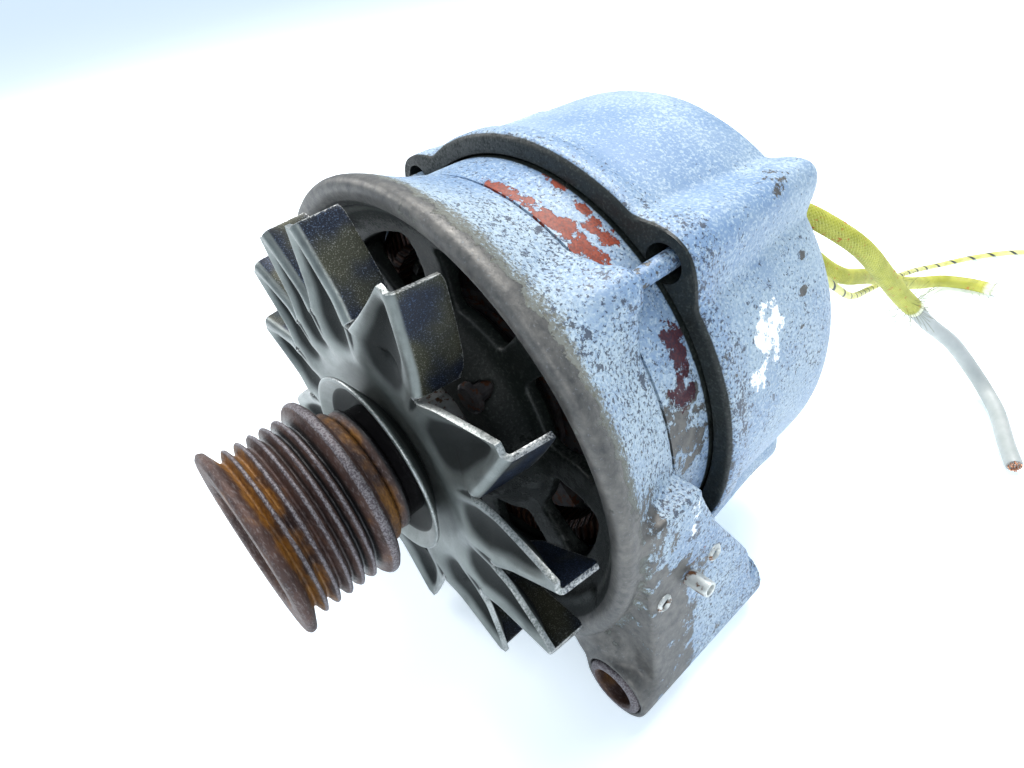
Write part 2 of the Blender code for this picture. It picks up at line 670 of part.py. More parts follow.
def end_turns(near, far):
    """Bundle of turns beyond one end of the core, its flat side towards the core."""
    way = 1.0 if far > near else -1.0
    return lathe([(near, 48.2), (near, 57.8), (far - way * 2.5, 57.8), (far, 54.5), (far, 50.0),
                  (far - way * 2.0, 48.2)])


# ---------------------------------------------------------------- rear housing

def housing_profile():
    seat_r = REAR_BEARING_R + GAP
    outside = [(HOUSING_FRONT, HOUSING_FLANGE_R - 0.7), (HOUSING_FRONT + 0.8, HOUSING_FLANGE_R),
               (109.4, HOUSING_FLANGE_R), (110.4, 69.2), (140.0, 68.6), (156.5, 67.8),
               (160.8, 65.8), (163.8, 61.8), (HOUSING_BACK, 56.5), (HOUSING_BACK, 23.0),
               (167.6, 20.0), (167.6, 0.0)]
    inside = [(158.2, 0.0), (158.2, seat_r), (REAR_BEARING_Y - GAP, seat_r),
              (REAR_BEARING_Y - GAP, 21.6), (WALL_IN, 23.0), (WALL_IN, 55.0), (157.6, 61.0),
              (154.0, 63.8), (116.4, 64.4), (115.4, 61.5), (STATOR_BACK + GAP, 61.5),
              (STATOR_BACK + GAP, HOUSING_BORE_R), (HOUSING_FRONT, HOUSING_BORE_R)]
    return outside + inside


def bolt_ridge(angle):
    """Ridge over a through bolt: broad at the flange and narrower at the rounded back."""
    rows = ((HOUSING_FRONT, 69.3, 8.2), (HOUSING_FRONT + 8.0, 69.3, 8.0), (112.0, 69.2, 7.6),
            (150.0, 68.9, 6.6), (BOLT_SEAT_Y, 68.9, 6.4), (RIDGE_END, 68.9, 6.1))
    bm = bmesh.new()
    loops = []
    for y, radius, size in rows:
        ring = circle(size, 14, polar(radius, angle))
        loops.append([bm.verts.new((x, y, z)) for x, z in ring])
    bm.faces.new(loops[0])
    bm.faces.new(loops[-1])
    for a, b in zip(loops, loops[1:]):
        for i in range(14):
            j = (i + 1) % 14
            bm.faces.new((a[i], a[j], b[j], b[i]))
    bmesh.ops.recalc_face_normals(bm, faces=bm.faces[:])
    return bm


def make_rear_housing(frame):
    housing = add_part("rear_housing", lathe(housing_profile()), "painted_casting", frame)
    boolean(housing, "UNION", merged([bolt_ridge(a) for a in BOLT_ANGLES]))
    bore = rod((0, 0), HOUSING_BORE_R, HOUSING_FRONT - 2, STATOR_BACK + GAP, 36)
    boolean(housing, "DIFFERENCE", bore)
    for radius, sides, front, back in BOLT_HOLE_STEPS:
        steps = [rod(polar(BOLT_CIRCLE_R, a), radius, front, back, sides) for a in BOLT_ANGLES]
        boolean(housing, "DIFFERENCE", merged(steps))
    slots = [vent_window(a, 16.0, 29.0, 43.0, 156.0, 170.0) for a in VENT_ANGLES]
    slots.append(block((-9.0, 9.0), (156.0, 170.0), (28.5, 46.5)))
    slots.append(gland_sector(0.0, 156.0, 170.0))
    slots.append(rod(polar(TERMINAL_R, TERMINAL_ANGLE), TERMINAL_HOLE_R, 156.0, 170.0, 16))
    boolean(housing, "DIFFERENCE", merged(slots))


def make_through_bolts(frame):
    """Bolts from sunk seats in the housing's ridges into the bracket's bosses."""
    for i, angle in enumerate(BOLT_ANGLES, 1):
        centre = polar(BOLT_CIRCLE_R, angle)
        screw(f"through_bolt_{i}", centre, BOLT_SEAT_Y + BOLT_HEAD_H, BOLT_TIP_Y, BOLT_HEAD_R,
              BOLT_HEAD_H, "zinc_steel", frame)


# ---------------------------------------------------------------- rectifier and brush gear

def sink_outline():
    return arc(58.5, 138, 302, 15) + arc(38.0, 302, 138, 11)


def make_rectifier(frame):
    for label, span in (("plus", SINK_PLUS_Y), ("minus", SINK_MINUS_Y)):
        plate = add_part(f"{label}_heat_sink", prism(sink_outline(), *span), "aluminium_plate", frame)
        holes = [rod(polar(DIODE_CIRCLE_R, a), DIODE_R + GAP, span[0] - 2, span[1] + 2, 16)
                 for side, a in DIODES if side == label]
        boolean(plate, "DIFFERENCE", merged(holes))
    outline = arc(40.9, 142, 298, 12) + arc(38.2, 298, 142, 12)
    between = (SINK_PLUS_Y[1] + GAP, SINK_MINUS_Y[0] - GAP)
    add_part("rectifier_insulator", prism(outline, *between), "black_plastic", frame)
    for i, (side, angle) in enumerate(DIODES, 1):
        y0 = (SINK_PLUS_Y if side == "plus" else SINK_MINUS_Y)[0]
        body = [(y0 - 3.2, 0.0), (y0 - 3.2, 1.6), (y0 - 1.4, 4.4), (y0 - 0.6, DIODE_R - 0.4),
                (y0, DIODE_R), (y0 + 2.4, DIODE_R), (y0 + 2.9, DIODE_R - 0.6), (y0 + 2.9, 0.0)]
        add_part(f"diode_{i}", lathe(body, 12), "zinc_steel", frame, pad_xyz(DIODE_CIRCLE_R, angle))


def pad_xyz(radius, angle):
    x, z = polar(radius, angle)
    return (x, 0.0, z)


def make_terminal(frame):
    place = pad_xyz(TERMINAL_R, TERMINAL_ANGLE)
    bushing = [(WALL_IN - 2.2, 3.3), (WALL_IN - 2.2, 7.5), (WALL_IN - GAP, 7.5),
               (WALL_IN - GAP, TERMINAL_HOLE_R - GAP), (HOUSING_BACK + GAP, TERMINAL_HOLE_R - GAP),
               (HOUSING_BACK + GAP, 7.5), (HOUSING_BACK + 2.4, 7.5), (HOUSING_BACK + 2.4, 3.3)]
    add_part("terminal_bushing", lathe(bushing, 16), "black_plastic", frame, place)
    stud = [(WALL_IN - 5.0, 0.0), (WALL_IN - 5.0, 5.0), (WALL_IN - 2.5, 5.0), (WALL_IN - 2.5, 3.0),
            (184.2, 3.0), (185.0, 2.4), (185.0, 0.0)]
    add_part("terminal_stud", lathe(stud, 16), "bright_steel", frame, place)
    centre = polar(TERMINAL_R, TERMINAL_ANGLE)
    hexagon = prism(arc(5.8, 0, 300, 6, centre), HOUSING_BACK + 2.7, HOUSING_BACK + 7.7)
    nut = add_part("terminal_nut", hexagon, "zinc_steel", frame)
    boolean(nut, "DIFFERENCE", rod(centre, 3.3, 160.0, 180.0, 16))


def make_brush_gear(frame, slides):
    """Regulator on the rear wall, its arm reaching in to hold two brushes over the slip rings."""
    holder = add_part("brush_holder", block((-15, 15), (HOUSING_BACK + GAP, 171.5), (24.5, 51.0)),
                      "black_plastic", frame)
    boolean(holder, "UNION", block((-8.4, 8.4), (124.0, 168.0), (33.0, 45.4)))
    boolean(holder, "UNION", block((-8.4, 8.4), (124.0, 142.0), (16.5, 40.0)))
    wells = [block((-BRUSH_X / 2 - GAP, BRUSH_X / 2 + GAP),
                   (y - BRUSH_Y / 2 - GAP, y + BRUSH_Y / 2 + GAP), (10.0, SPRING_TOP)) for y in SLIP_RINGS_Y]
    boolean(holder, "DIFFERENCE", merged(wells))
    ears = [rod((x, 37.7), 2.3, 160.0, 175.0, 12) for x in (-12.0, 12.0)]
    boolean(holder, "DIFFERENCE", merged(ears))
    for i, x in enumerate((-12.0, 12.0), 1):
        top = HOUSING_BACK + 9.4
        bolt = [(top, 0.0), (top, 3.0), (top - 0.8, 3.8), (top - 2.6, 3.8), (top - 2.6, 2.0),
                (HOUSING_BACK + GAP, 2.0),
                (HOUSING_BACK + GAP, 0.0)]
        add_part(f"regulator_screw_{i}", lathe(bolt, 12), "zinc_steel", frame, (x, 0.0, 37.7))
    for i, (y, slide) in enumerate(zip(SLIP_RINGS_Y, slides), 1):
        bottom = SLIP_RING_R + GAP
        brush = block((-BRUSH_X / 2, BRUSH_X / 2), (-BRUSH_Y / 2, BRUSH_Y / 2),
                      (bottom - SPRING_TOP, BRUSH_TOP - SPRING_TOP))
        add_part(f"brush_{i}", brush, "carbon", slide)
        add_part(f"brush_spring_{i}", spring_mesh(BRUSH_TOP + GAP, SPRING_TOP - GAP), "bright_steel",
                 slide, (0.0, 0.0, -SPRING_TOP))


def spring_mesh(z0, z1, turns=5, steps=8, wire=0.35, sides=4):
    """Closed coil wire with capped ends, wound about Z."""
    bm = bmesh.new()
    total = turns * steps
    low = z0 + wire
    high = z1 - wire
    loops = []
    for i in range(total + 1):
        angle = math.tau * i / steps
        z = low + (high - low) * i / total
        loop = []
        for j in range(sides):
            turn = math.tau * j / sides
            radius = SPRING_R + wire * math.cos(turn)
            loop.append(bm.verts.new((radius * math.cos(angle), radius * math.sin(angle),
                                      z + wire * math.sin(turn))))
        loops.append(loop)
    bm.faces.new(loops[0])
    bm.faces.new(loops[-1])
    for a, b in zip(loops, loops[1:]):
        for j in range(sides):
            k = (j + 1) % sides
            bm.faces.new((a[j], a[k], b[k], b[j]))
    return bm


def make_capacitor(frame):
    can = lathe([(-17, 0.0), (-17, 7.0), (-16, 8.0), (15, 8.0), (16.5, 7.0), (16.5, 3.0),
                 (19.0, 2.4), (19.0, 0.0)], 20)
    can.transform(Matrix.Rotation(math.radians(-90.0), 4, "Z"))
    add_part("capacitor", can, "aluminium_plate", frame, (0.0, HOUSING_BACK + 8.6, -51.5))


# ---------------------------------------------------------------- leads

def gland_sector(margin, y0, y1):
    """Slice of a ring with the gland's outline, grown or shrunk by a margin."""
    low, high = GLAND_ANGLES
    turn = math.degrees(margin / GLAND_R)
    outer = GLAND_R + GLAND_WIDTH / 2 + margin
    inner = GLAND_R - GLAND_WIDTH / 2 - margin
    outline = arc(outer, low - turn, high + turn, 7) + arc(inner, high + turn, low - turn, 7)
    return prism(outline, y0, y1)


def make_gland(frame):
    """Rubber block that the three leads come out of."""
    gland = add_part("cable_gland", gland_sector(-GAP, 158.0, GLAND_FACE), "rubber", frame)
    boolean(gland, "UNION", gland_sector(1.6, HOUSING_BACK + GAP, HOUSING_BACK + 2.4))


def smooth_route(points, spacing):
    """Points read at even spacing from a smooth curve through the route's own points."""
    dense = []
    last = len(points) - 1
    for i in range(last):
        p0 = Vector(points[max(i - 1, 0)])
        p1 = Vector(points[i])
        p2 = Vector(points[i + 1])
        p3 = Vector(points[min(i + 2, last)])
        for step in range(24):
            t = step / 24
            dense.append(0.5 * (2 * p1 + (p2 - p0) * t + (2 * p0 - 5 * p1 + 4 * p2 - p3) * t * t
                                + (3 * p1 - p0 - 3 * p2 + p3) * t ** 3))
    dense.append(Vector(points[-1]))
    length = sum((b - a).length for a, b in zip(dense, dense[1:]))
    count = max(2, round(length / spacing))
    result = [dense[0]]
    travelled = 0.0
    for a, b in zip(dense, dense[1:]):
        travelled += (b - a).length
        if travelled >= length * len(result) / count and len(result) < count:
            result.append(b)
    result.append(dense[-1])
    return result


def make_cord(name, route, diameter, mat, frame, resolution=2):
    curve = bpy.data.curves.new(name, "CURVE")
    curve.dimensions = "3D"
    curve.bevel_depth = diameter / 2 * MM
    curve.bevel_resolution = resolution
    curve.use_fill_caps = True
    points = smooth_route(route, diameter * 2.2)
    spline = curve.splines.new("POLY")
    spline.points.add(len(points) - 1)
    for target, point in zip(spline.points, points):
        target.co = (*(point * MM), 1.0)
    curve.materials.append(material(mat))
    obj = bpy.data.objects.new(name, curve)
    bpy.context.scene.collection.objects.link(obj)
    obj.parent = frame


def make_leads(frame):
    make_gland(frame)
    for name, (route, diameter, mat) in LEADS.items():
        make_cord(name, route, diameter, mat, frame)


def main():
    clear_scene()
    frame = empty("alternator", None, (AXIS_X, AXIS_Y, AXIS_Z))
    rotor = empty("rotor_axis", frame)
    front_cage = empty("front_cage_axis", frame, (0.0, 0.0, 0.0))
    rear_cage = empty("rear_cage_axis", frame, (0.0, 0.0, 0.0))
    slides = [empty(f"brush_{i}_slide", frame, (0.0, y, SPRING_TOP))
              for i, y in enumerate(SLIP_RINGS_Y, 1)]
    make_pulley(rotor)
    make_fan(rotor)
    make_shaft(rotor)
    make_bearing("front_bearing", SHAFT_R + GAP, FRONT_BEARING_R, FRONT_BEARING_Y, FRONT_BEARING_W,
                 8, (rotor, frame, front_cage))
    make_bearing("rear_bearing", REAR_SHAFT_R + GAP, REAR_BEARING_R, REAR_BEARING_Y, REAR_BEARING_W,
                 8, (rotor, frame, rear_cage))
    make_rotor_core(rotor)
    make_front_bracket(frame)
    make_bracket_fittings(frame)
    make_stator(frame)
    make_rear_housing(frame)
    make_through_bolts(frame)
    make_rectifier(frame)
    make_terminal(frame)
    make_brush_gear(frame, slides)
    make_capacitor(frame)
    make_leads(frame)


main()
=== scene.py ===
"""Looks of a used car alternator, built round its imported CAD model.

Shapes are drawn in the shaft's own frame, in millimetres, as the CAD model is: y runs along
the shaft from the pulley's front face, x and z lie across it, and angles turn from x to z.
place() takes a point from there to the row frame.
"""
import json
import math

import bmesh
import bpy
from mathutils import Matrix, Vector, noise


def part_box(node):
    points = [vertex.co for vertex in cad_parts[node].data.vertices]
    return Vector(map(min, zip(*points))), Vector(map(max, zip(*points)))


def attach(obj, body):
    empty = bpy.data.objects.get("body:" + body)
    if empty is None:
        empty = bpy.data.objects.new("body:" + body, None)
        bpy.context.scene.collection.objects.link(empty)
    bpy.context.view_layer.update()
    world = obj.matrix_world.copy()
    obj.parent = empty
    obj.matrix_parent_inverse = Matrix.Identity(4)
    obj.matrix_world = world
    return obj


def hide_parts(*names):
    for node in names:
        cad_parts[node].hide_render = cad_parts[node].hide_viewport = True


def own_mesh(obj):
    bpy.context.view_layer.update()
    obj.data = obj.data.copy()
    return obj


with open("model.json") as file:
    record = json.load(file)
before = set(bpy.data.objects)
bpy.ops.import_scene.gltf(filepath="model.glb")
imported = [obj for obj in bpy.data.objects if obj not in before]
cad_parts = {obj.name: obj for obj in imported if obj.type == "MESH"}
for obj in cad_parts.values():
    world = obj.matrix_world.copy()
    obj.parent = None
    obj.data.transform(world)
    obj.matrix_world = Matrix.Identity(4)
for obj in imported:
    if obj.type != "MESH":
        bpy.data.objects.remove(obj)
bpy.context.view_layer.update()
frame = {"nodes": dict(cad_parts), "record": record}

MM = 0.001
SHAFT_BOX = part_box("shaft")
AXIS = Vector(((SHAFT_BOX[0][0] + SHAFT_BOX[1][0]) / 2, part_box("pulley")[0][1],
               (SHAFT_BOX[0][2] + SHAFT_BOX[1][2]) / 2))

# Camera above and beside the pulley's end, in the shaft's frame
CAMERA_AT = (134.81, -8.92, 125.71)
CAMERA_RIGHT = (0.66205, 0.73781, -0.13162)
CAMERA_UP = (-0.39016, 0.48925, 0.78000)
CAMERA_FORWARD = (-0.63989, 0.46505, -0.61178)
LENS = 23.28

# Shaft and pulley
SHAFT_R = 8.5
RIB_PITCH = 3.56
GROOVES = 6
RIB_R = 24.5
GROOVE_R = 21.7
FLANGE_R = 26.8
FIRST_GROOVE_Y = 4.8
PULLEY_HUB_R = 20.2
PULLEY_BACK = 32.6
RECESS_R = 17.0
RECESS_FLOOR = 12.2

# Fan
FAN_SHEET = 1.5
FAN_Y = 42.75
FAN_CENTRE_Y = 45.35
FAN_TIP_R = 67.8
FAN_BORE_R = 9.8
WINDOW_R = 45.0
VANE_DEPTH = 12.2
BLADE_ANGLES = (-93, -57, -26, 3, 33, 67, 100, 120, 140, 164, 193, 227)
WINDOW_SPLIT = 0.56
WINDOW_HALF = 1.3

# Castings
RIM_R = 74.2
BOLT_CIRCLE_R = 69.5
BOLT_ANGLES = (45, 135, 225, 315)
BOLT_R = 2.6
BRACKET_BACK = 86.2
STATOR_FRONT = 86.5
STATOR_BACK = 112.0
SLOTS = 36
RETAINER_ANGLES = (45, 165, 285)
RETAINER_CIRCLE_R = 27.3
STATOR_R = 65.0
HOUSING_FRONT = 101.6
HOUSING_BACK = 165.0
LUG_ANGLE = -43.6
LUG_R = 91.4
LUG_BOSS_R = 11.0
PAD_ANGLE = 2.8
PAD_OFFSET = 74.0
PAD_Z = -23.5
RIVET_HOLES_Y = (69.5, 90.5)
EAR_ANGLE = 190.0
EAR_R = 86.0

# Back wall
TERMINAL_R = 48.0
TERMINAL_ANGLE = 130.0
REGULATOR_SCREWS_X = (-12.0, 12.0)
REGULATOR_SCREWS_Z = 37.7

# Brush gear
SPRING_WIRE_R = 0.35
SPRING_TURNS = 5

# Free leads
SLEEVE_D = 6.8
CABLE_D = 5.8
SIGNAL_SLEEVE_D = 6.0
LEAD_D = 2.6
ROUTES = {
    "charge_sleeve": ((37.0, 171.4, 32.1), (39.0, 176.5, 31.5), (46.5, 183.5, 26.0),
                      (55.5, 195.0, 14.5), (59.5, 211.0, -2.5), (61.8, 223.0, -15.0),
                      (64.0, 234.0, -25.5)),
    "charge_cable": ((64.3, 235.2, -26.7), (67.8, 244.0, -36.5), (75.0, 254.0, -48.0),
                     (82.5, 261.0, -61.0), (90.0, 261.0, -69.0), (98.0, 252.5, -71.1),
                     (107.0, 236.0, -71.1), (113.0, 226.0, -71.1)),
    "signal_sleeve": ((42.4, 171.0, 24.5), (42.6, 177.5, 22.0), (44.0, 189.0, 9.5),
                      (46.0, 208.0, -5.0), (44.0, 240.0, -21.0), (41.5, 270.0, -38.5),
                      (38.5, 300.0, -54.5), (38.0, 324.0, -66.0), (43.0, 339.0, -70.6),
                      (54.0, 343.5, -70.9), (64.0, 344.0, -70.9)),
    "sense_lead": ((45.6, 170.2, 18.0), (49.0, 177.0, 13.0), (52.0, 190.0, 1.0),
                   (50.0, 210.0, -13.0), (41.2, 248.5, -32.0), (32.5, 293.0, -51.5),
                   (30.5, 330.0, -64.5), (34.0, 355.0, -71.6), (45.0, 376.0, -72.7),
                   (58.0, 391.0, -72.7), (72.0, 399.0, -72.7)),
}


# ------------------------------------------------------------------ drawing helpers

def place(point):
    return AXIS + Vector(point) * MM


def polar(radius, angle):
    return (radius * math.cos(math.radians(angle)), radius * math.sin(math.radians(angle)))


def arc(radius, start, end, count, centre=(0.0, 0.0)):
    points = []
    for i in range(count):
        x, z = polar(radius, start + (end - start) * i / (count - 1))
        points.append((centre[0] + x, centre[1] + z))
    return points


def circle(radius, count, centre=(0.0, 0.0)):
    return arc(radius, 0.0, 360.0, count + 1, centre)[:-1]


def smoothstep(value, low, high):
    t = min(max((value - low) / (high - low), 0.0), 1.0)
    return t * t * (3.0 - 2.0 * t)


def rounded(points, radius, count=4, closed=True):
    """Outline with each corner turned into a small curve of about the given radius."""
    result = []
    last = len(points)
    for i, point in enumerate(points):
        if not closed and i in (0, last - 1):
            result.append(tuple(point))
            continue
        corner = Vector(point)
        before = Vector(points[i - 1]) - corner
        after = Vector(points[(i + 1) % last]) - corner
        reach_before = min(radius, before.length * 0.45)
        reach_after = min(radius, after.length * 0.45)
        start = corner + before.normalized() * reach_before
        end = corner + after.normalized() * reach_after
        for k in range(count + 1):
            t = k / count
            result.append(tuple(start * (1 - t) ** 2 + corner * 2 * t * (1 - t) + end * t * t))
    return result


def divided(points, spacing):
    """Closed outline with extra points, so that no step is longer than the spacing."""
    result = []
    for i, point in enumerate(points):
        following = points[(i + 1) % len(points)]
        steps = max(1, math.ceil(math.dist(point, following) / spacing))
        for k in range(steps):
            t = k / steps
            result.append((point[0] + (following[0] - point[0]) * t,
                           point[1] + (following[1] - point[1]) * t))
    return result


def lathe(profile, steps=96, shape=None):
    """Spin a closed outline of (y, r) points; shape(y, r, angle) can move each point's radius."""
    bm = bmesh.new()
    loops = []
    for y, radius in profile:
        if radius <= 0.0:
            loops.append([bm.verts.new((0.0, y, 0.0))])
            continue
        loop = []
        for i in range(steps):
            angle = 360.0 * i / steps
            size = radius if shape is None else shape(y, radius, angle)
            x, z = polar(size, angle)
            loop.append(bm.verts.new((x, y, z)))
        loops.append(loop)
    for a, b in zip(loops, loops[1:] + loops[:1]):
        if len(a) == 1 and len(b) == 1:
            continue
        for i in range(steps):
            j = (i + 1) % steps
            corners = [a[i % len(a)], a[j % len(a)], b[j % len(b)], b[i % len(b)]]
            bm.faces.new(list(dict.fromkeys(corners)))
    return bm


def prism(outline, y0, y1):
    bm = bmesh.new()
    face = bm.faces.new([bm.verts.new((x, y0, z)) for x, z in outline])
    moved = bmesh.ops.extrude_face_region(bm, geom=[face])["geom"]
    verts = [v for v in moved if isinstance(v, bmesh.types.BMVert)]
    bmesh.ops.translate(bm, verts=verts, vec=(0, y1 - y0, 0))
    return bm


def block(x, y, z):
    return prism([(x[0], z[0]), (x[1], z[0]), (x[1], z[1]), (x[0], z[1])], y[0], y[1])


def rod(centre, radius, y0, y1, steps=48):
    return prism(circle(radius, steps, centre), y0, y1)


def bridge(bm, rings):
    """Skin of faces between each ring of vertices and the next."""
    for a, b in zip(rings, rings[1:]):
        for i in range(len(a)):
            j = (i + 1) % len(a)
            bm.faces.new((a[i], a[j], b[j], b[i]))


def loft(loops):
    """Closed body through rings of points with the same count."""
    bm = bmesh.new()
    rings = [[bm.verts.new(point) for point in loop] for loop in loops]
    bm.faces.new(rings[0])
    bm.faces.new(rings[-1])
    bridge(bm, rings)
    bmesh.ops.recalc_face_normals(bm, faces=bm.faces[:])
    return bm


def merged(shapes):
    out = bmesh.new()
    for bm in shapes:
        mesh = bpy.data.meshes.new("part")
        bm.to_mesh(mesh)
        bm.free()
        out.from_mesh(mesh)
        bpy.data.meshes.remove(mesh)
    return out


def moved(bm, *steps):
    for step in steps:
        bm.transform(step)
    return bm


def turned(axis, angle):
    return Matrix.Rotation(math.radians(angle), 4, axis)


def shifted(x, y, z):
    return Matrix.Translation((x, y, z))


def millimetre_object(name, bm):
    """Working object still in millimetres."""
    bmesh.ops.recalc_face_normals(bm, faces=bm.faces[:])
    mesh = bpy.data.meshes.new(name)
    bm.to_mesh(mesh)
    bm.free()
    return linked(name, mesh)


def linked(name, data):
    obj = bpy.data.objects.new(name, data)
    bpy.context.scene.collection.objects.link(obj)
    return obj


def cut(obj, bm, operation="DIFFERENCE", solver="EXACT"):
    """Boolean with a throwaway tool shape, applied at once."""
    tool = millimetre_object("tool", bm)
    modifier = obj.modifiers.new("cut", "BOOLEAN")
    modifier.operation = operation
    modifier.solver = solver
    modifier.object = tool
    apply_modifiers(obj)
    bpy.data.objects.remove(tool, do_unlink=True)


def apply_modifiers(obj):
    depsgraph = bpy.context.evaluated_depsgraph_get()
    mesh = bpy.data.meshes.new_from_object(obj.evaluated_get(depsgraph))
    obj.modifiers.clear()
    obj.data = mesh


def remesh(obj, voxel, rounds=0, factor=0.5):
    """Even skin over everything in the object, then smoothed as a casting's corners are."""
    modifier = obj.modifiers.new("skin", "REMESH")
    modifier.mode = "VOXEL"
    modifier.voxel_size = voxel
    if rounds:
        smooth = obj.modifiers.new("round", "SMOOTH")
        smooth.factor = factor
        smooth.iterations = rounds
    apply_modifiers(obj)


def bevel(obj, width, segments=2, angle=30.0):
    modifier = obj.modifiers.new("bevel", "BEVEL")
    modifier.width = width
    modifier.segments = segments
    modifier.limit_method = "ANGLE"
    modifier.angle_limit = math.radians(angle)
    apply_modifiers(obj)


def mark(obj, **marks):
    """Store marks at each vertex for the material to read: a number, or a function of (x, y, z)."""
    for name, value in marks.items():
        attribute = obj.data.attributes.new(name, "FLOAT", "POINT")
        stored = [value(*v.co) if callable(value) else value for v in obj.data.vertices]
        attribute.data.foreach_set("value", stored)


def finish_piece(obj, body, slot, nodes=(), sharp=35.0, finish=None):
    """Take a working object to the row frame and tie it to its CAD body. Its finish is the one named by
    finish, or else its slot's.
    """
    obj.data.transform(Matrix.Translation(AXIS) @ Matrix.Scale(MM, 4))
    obj.data.materials.clear()
    obj.data.materials.append(FINISHES[finish or slot])
    obj.data.shade_smooth()
    obj.data.set_sharp_from_angle(angle=math.radians(sharp))
    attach(obj, body)
    if nodes:
        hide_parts(*nodes)
    return obj


# ------------------------------------------------------------------ materials

class Finish:
    """A node material built step by step. Sizes are in millimetres."""

    def __init__(self, name, roughness=0.5, metallic=0.0):
        self.material = bpy.data.materials.new(name)
        self.material.use_nodes = True
        self.tree = self.material.node_tree
        self.shader = self.tree.nodes["Principled BSDF"]
        self.shader.inputs["Roughness"].default_value = roughness
        self.shader.inputs["Metallic"].default_value = metallic
        self.place = self.tree.nodes.new("ShaderNodeTexCoord").outputs["Object"]
        self.normal = None

    def feed(self, target, value):
        if isinstance(value, bpy.types.NodeSocket):
            self.tree.links.new(value, target)
        elif target.type == "RGBA":
            target.default_value = (*value, 1.0)
        else:
            target.default_value = value

    def node(self, kind, output, inputs, **settings):
        """One output of a new node, its settings made and its inputs fed."""
        node = self.tree.nodes.new("ShaderNode" + kind)
        for key, value in settings.items():
            setattr(node, key, value)
        for socket, value in inputs.items():
            self.feed(node.inputs[socket], value)
        return node.outputs[output]

    def set(self, socket, value):
        self.feed(self.shader.inputs[socket], value)

    def noise(self, size, detail=4.0, rough=0.5, seed=0.0, stretch=None):
        """Cloudy noise with features about size across, 0 to 1."""
        spot = self.place
        if stretch:
            spot = self.node("Mapping", "Vector", {"Scale": stretch, "Vector": spot})
        inputs = {"Vector": spot, "W": seed, "Scale": 1.0 / (size * MM), "Detail": detail, "Roughness": rough}
        return self.node("TexNoise", "Fac", inputs, noise_dimensions="4D")

    def stored(self, name):
        return self.node("Attribute", "Fac", {}, attribute_name=name)

    def math(self, operation, a, b=0.0):
        return self.node("Math", 0, {0: a, 1: b}, operation=operation)

    def add(self, a, b):
        return self.math("ADD", a, b)

    def times(self, a, b):
        return self.math("MULTIPLY", a, b)

    def step(self, value, low, high):
        """0 below low, 1 above high, soft between."""
        inputs = {"Value": value, "From Min": low, "From Max": high}
        return self.node("MapRange", "Result", inputs, interpolation_type="SMOOTHSTEP")

    def flakes(self, ragged, name, level):
        """Where a stored mark has flaked away, with a torn edge and islands."""
        return self.step(self.add(self.times(ragged, 2.8), self.stored(name)), level, level + 0.04)

    def span(self, value, low, high):
        """Spread a noise's middle range over low to high."""
        inputs = {"Value": value, "From Min": 0.3, "From Max": 0.7, "To Min": low, "To Max": high}
        return self.node("MapRange", "Result", inputs)

    def mix(self, share, a, b):
        return self.node("Mix", "Result", {"Factor": share, "A": a, "B": b}, data_type="RGBA")

    def blend(self, share, a, b):
        return self.node("Mix", "Result", {"Factor": share, "A": a, "B": b})

    def cloudy(self, share, low, high):
        """Colour between two, by the middle range of a noise."""
        return self.mix(self.span(share, 0.0, 1.0), low, high)

    def bump(self, height, depth, strength=1.0):
        inputs = {"Strength": strength, "Distance": depth * MM, "Height": height}
        if self.normal is not None:
            inputs["Normal"] = self.normal
        self.normal = self.node("Bump", "Normal", inputs)

    def done(self):
        if self.normal is not None:
            self.set("Normal", self.normal)
        return self.material


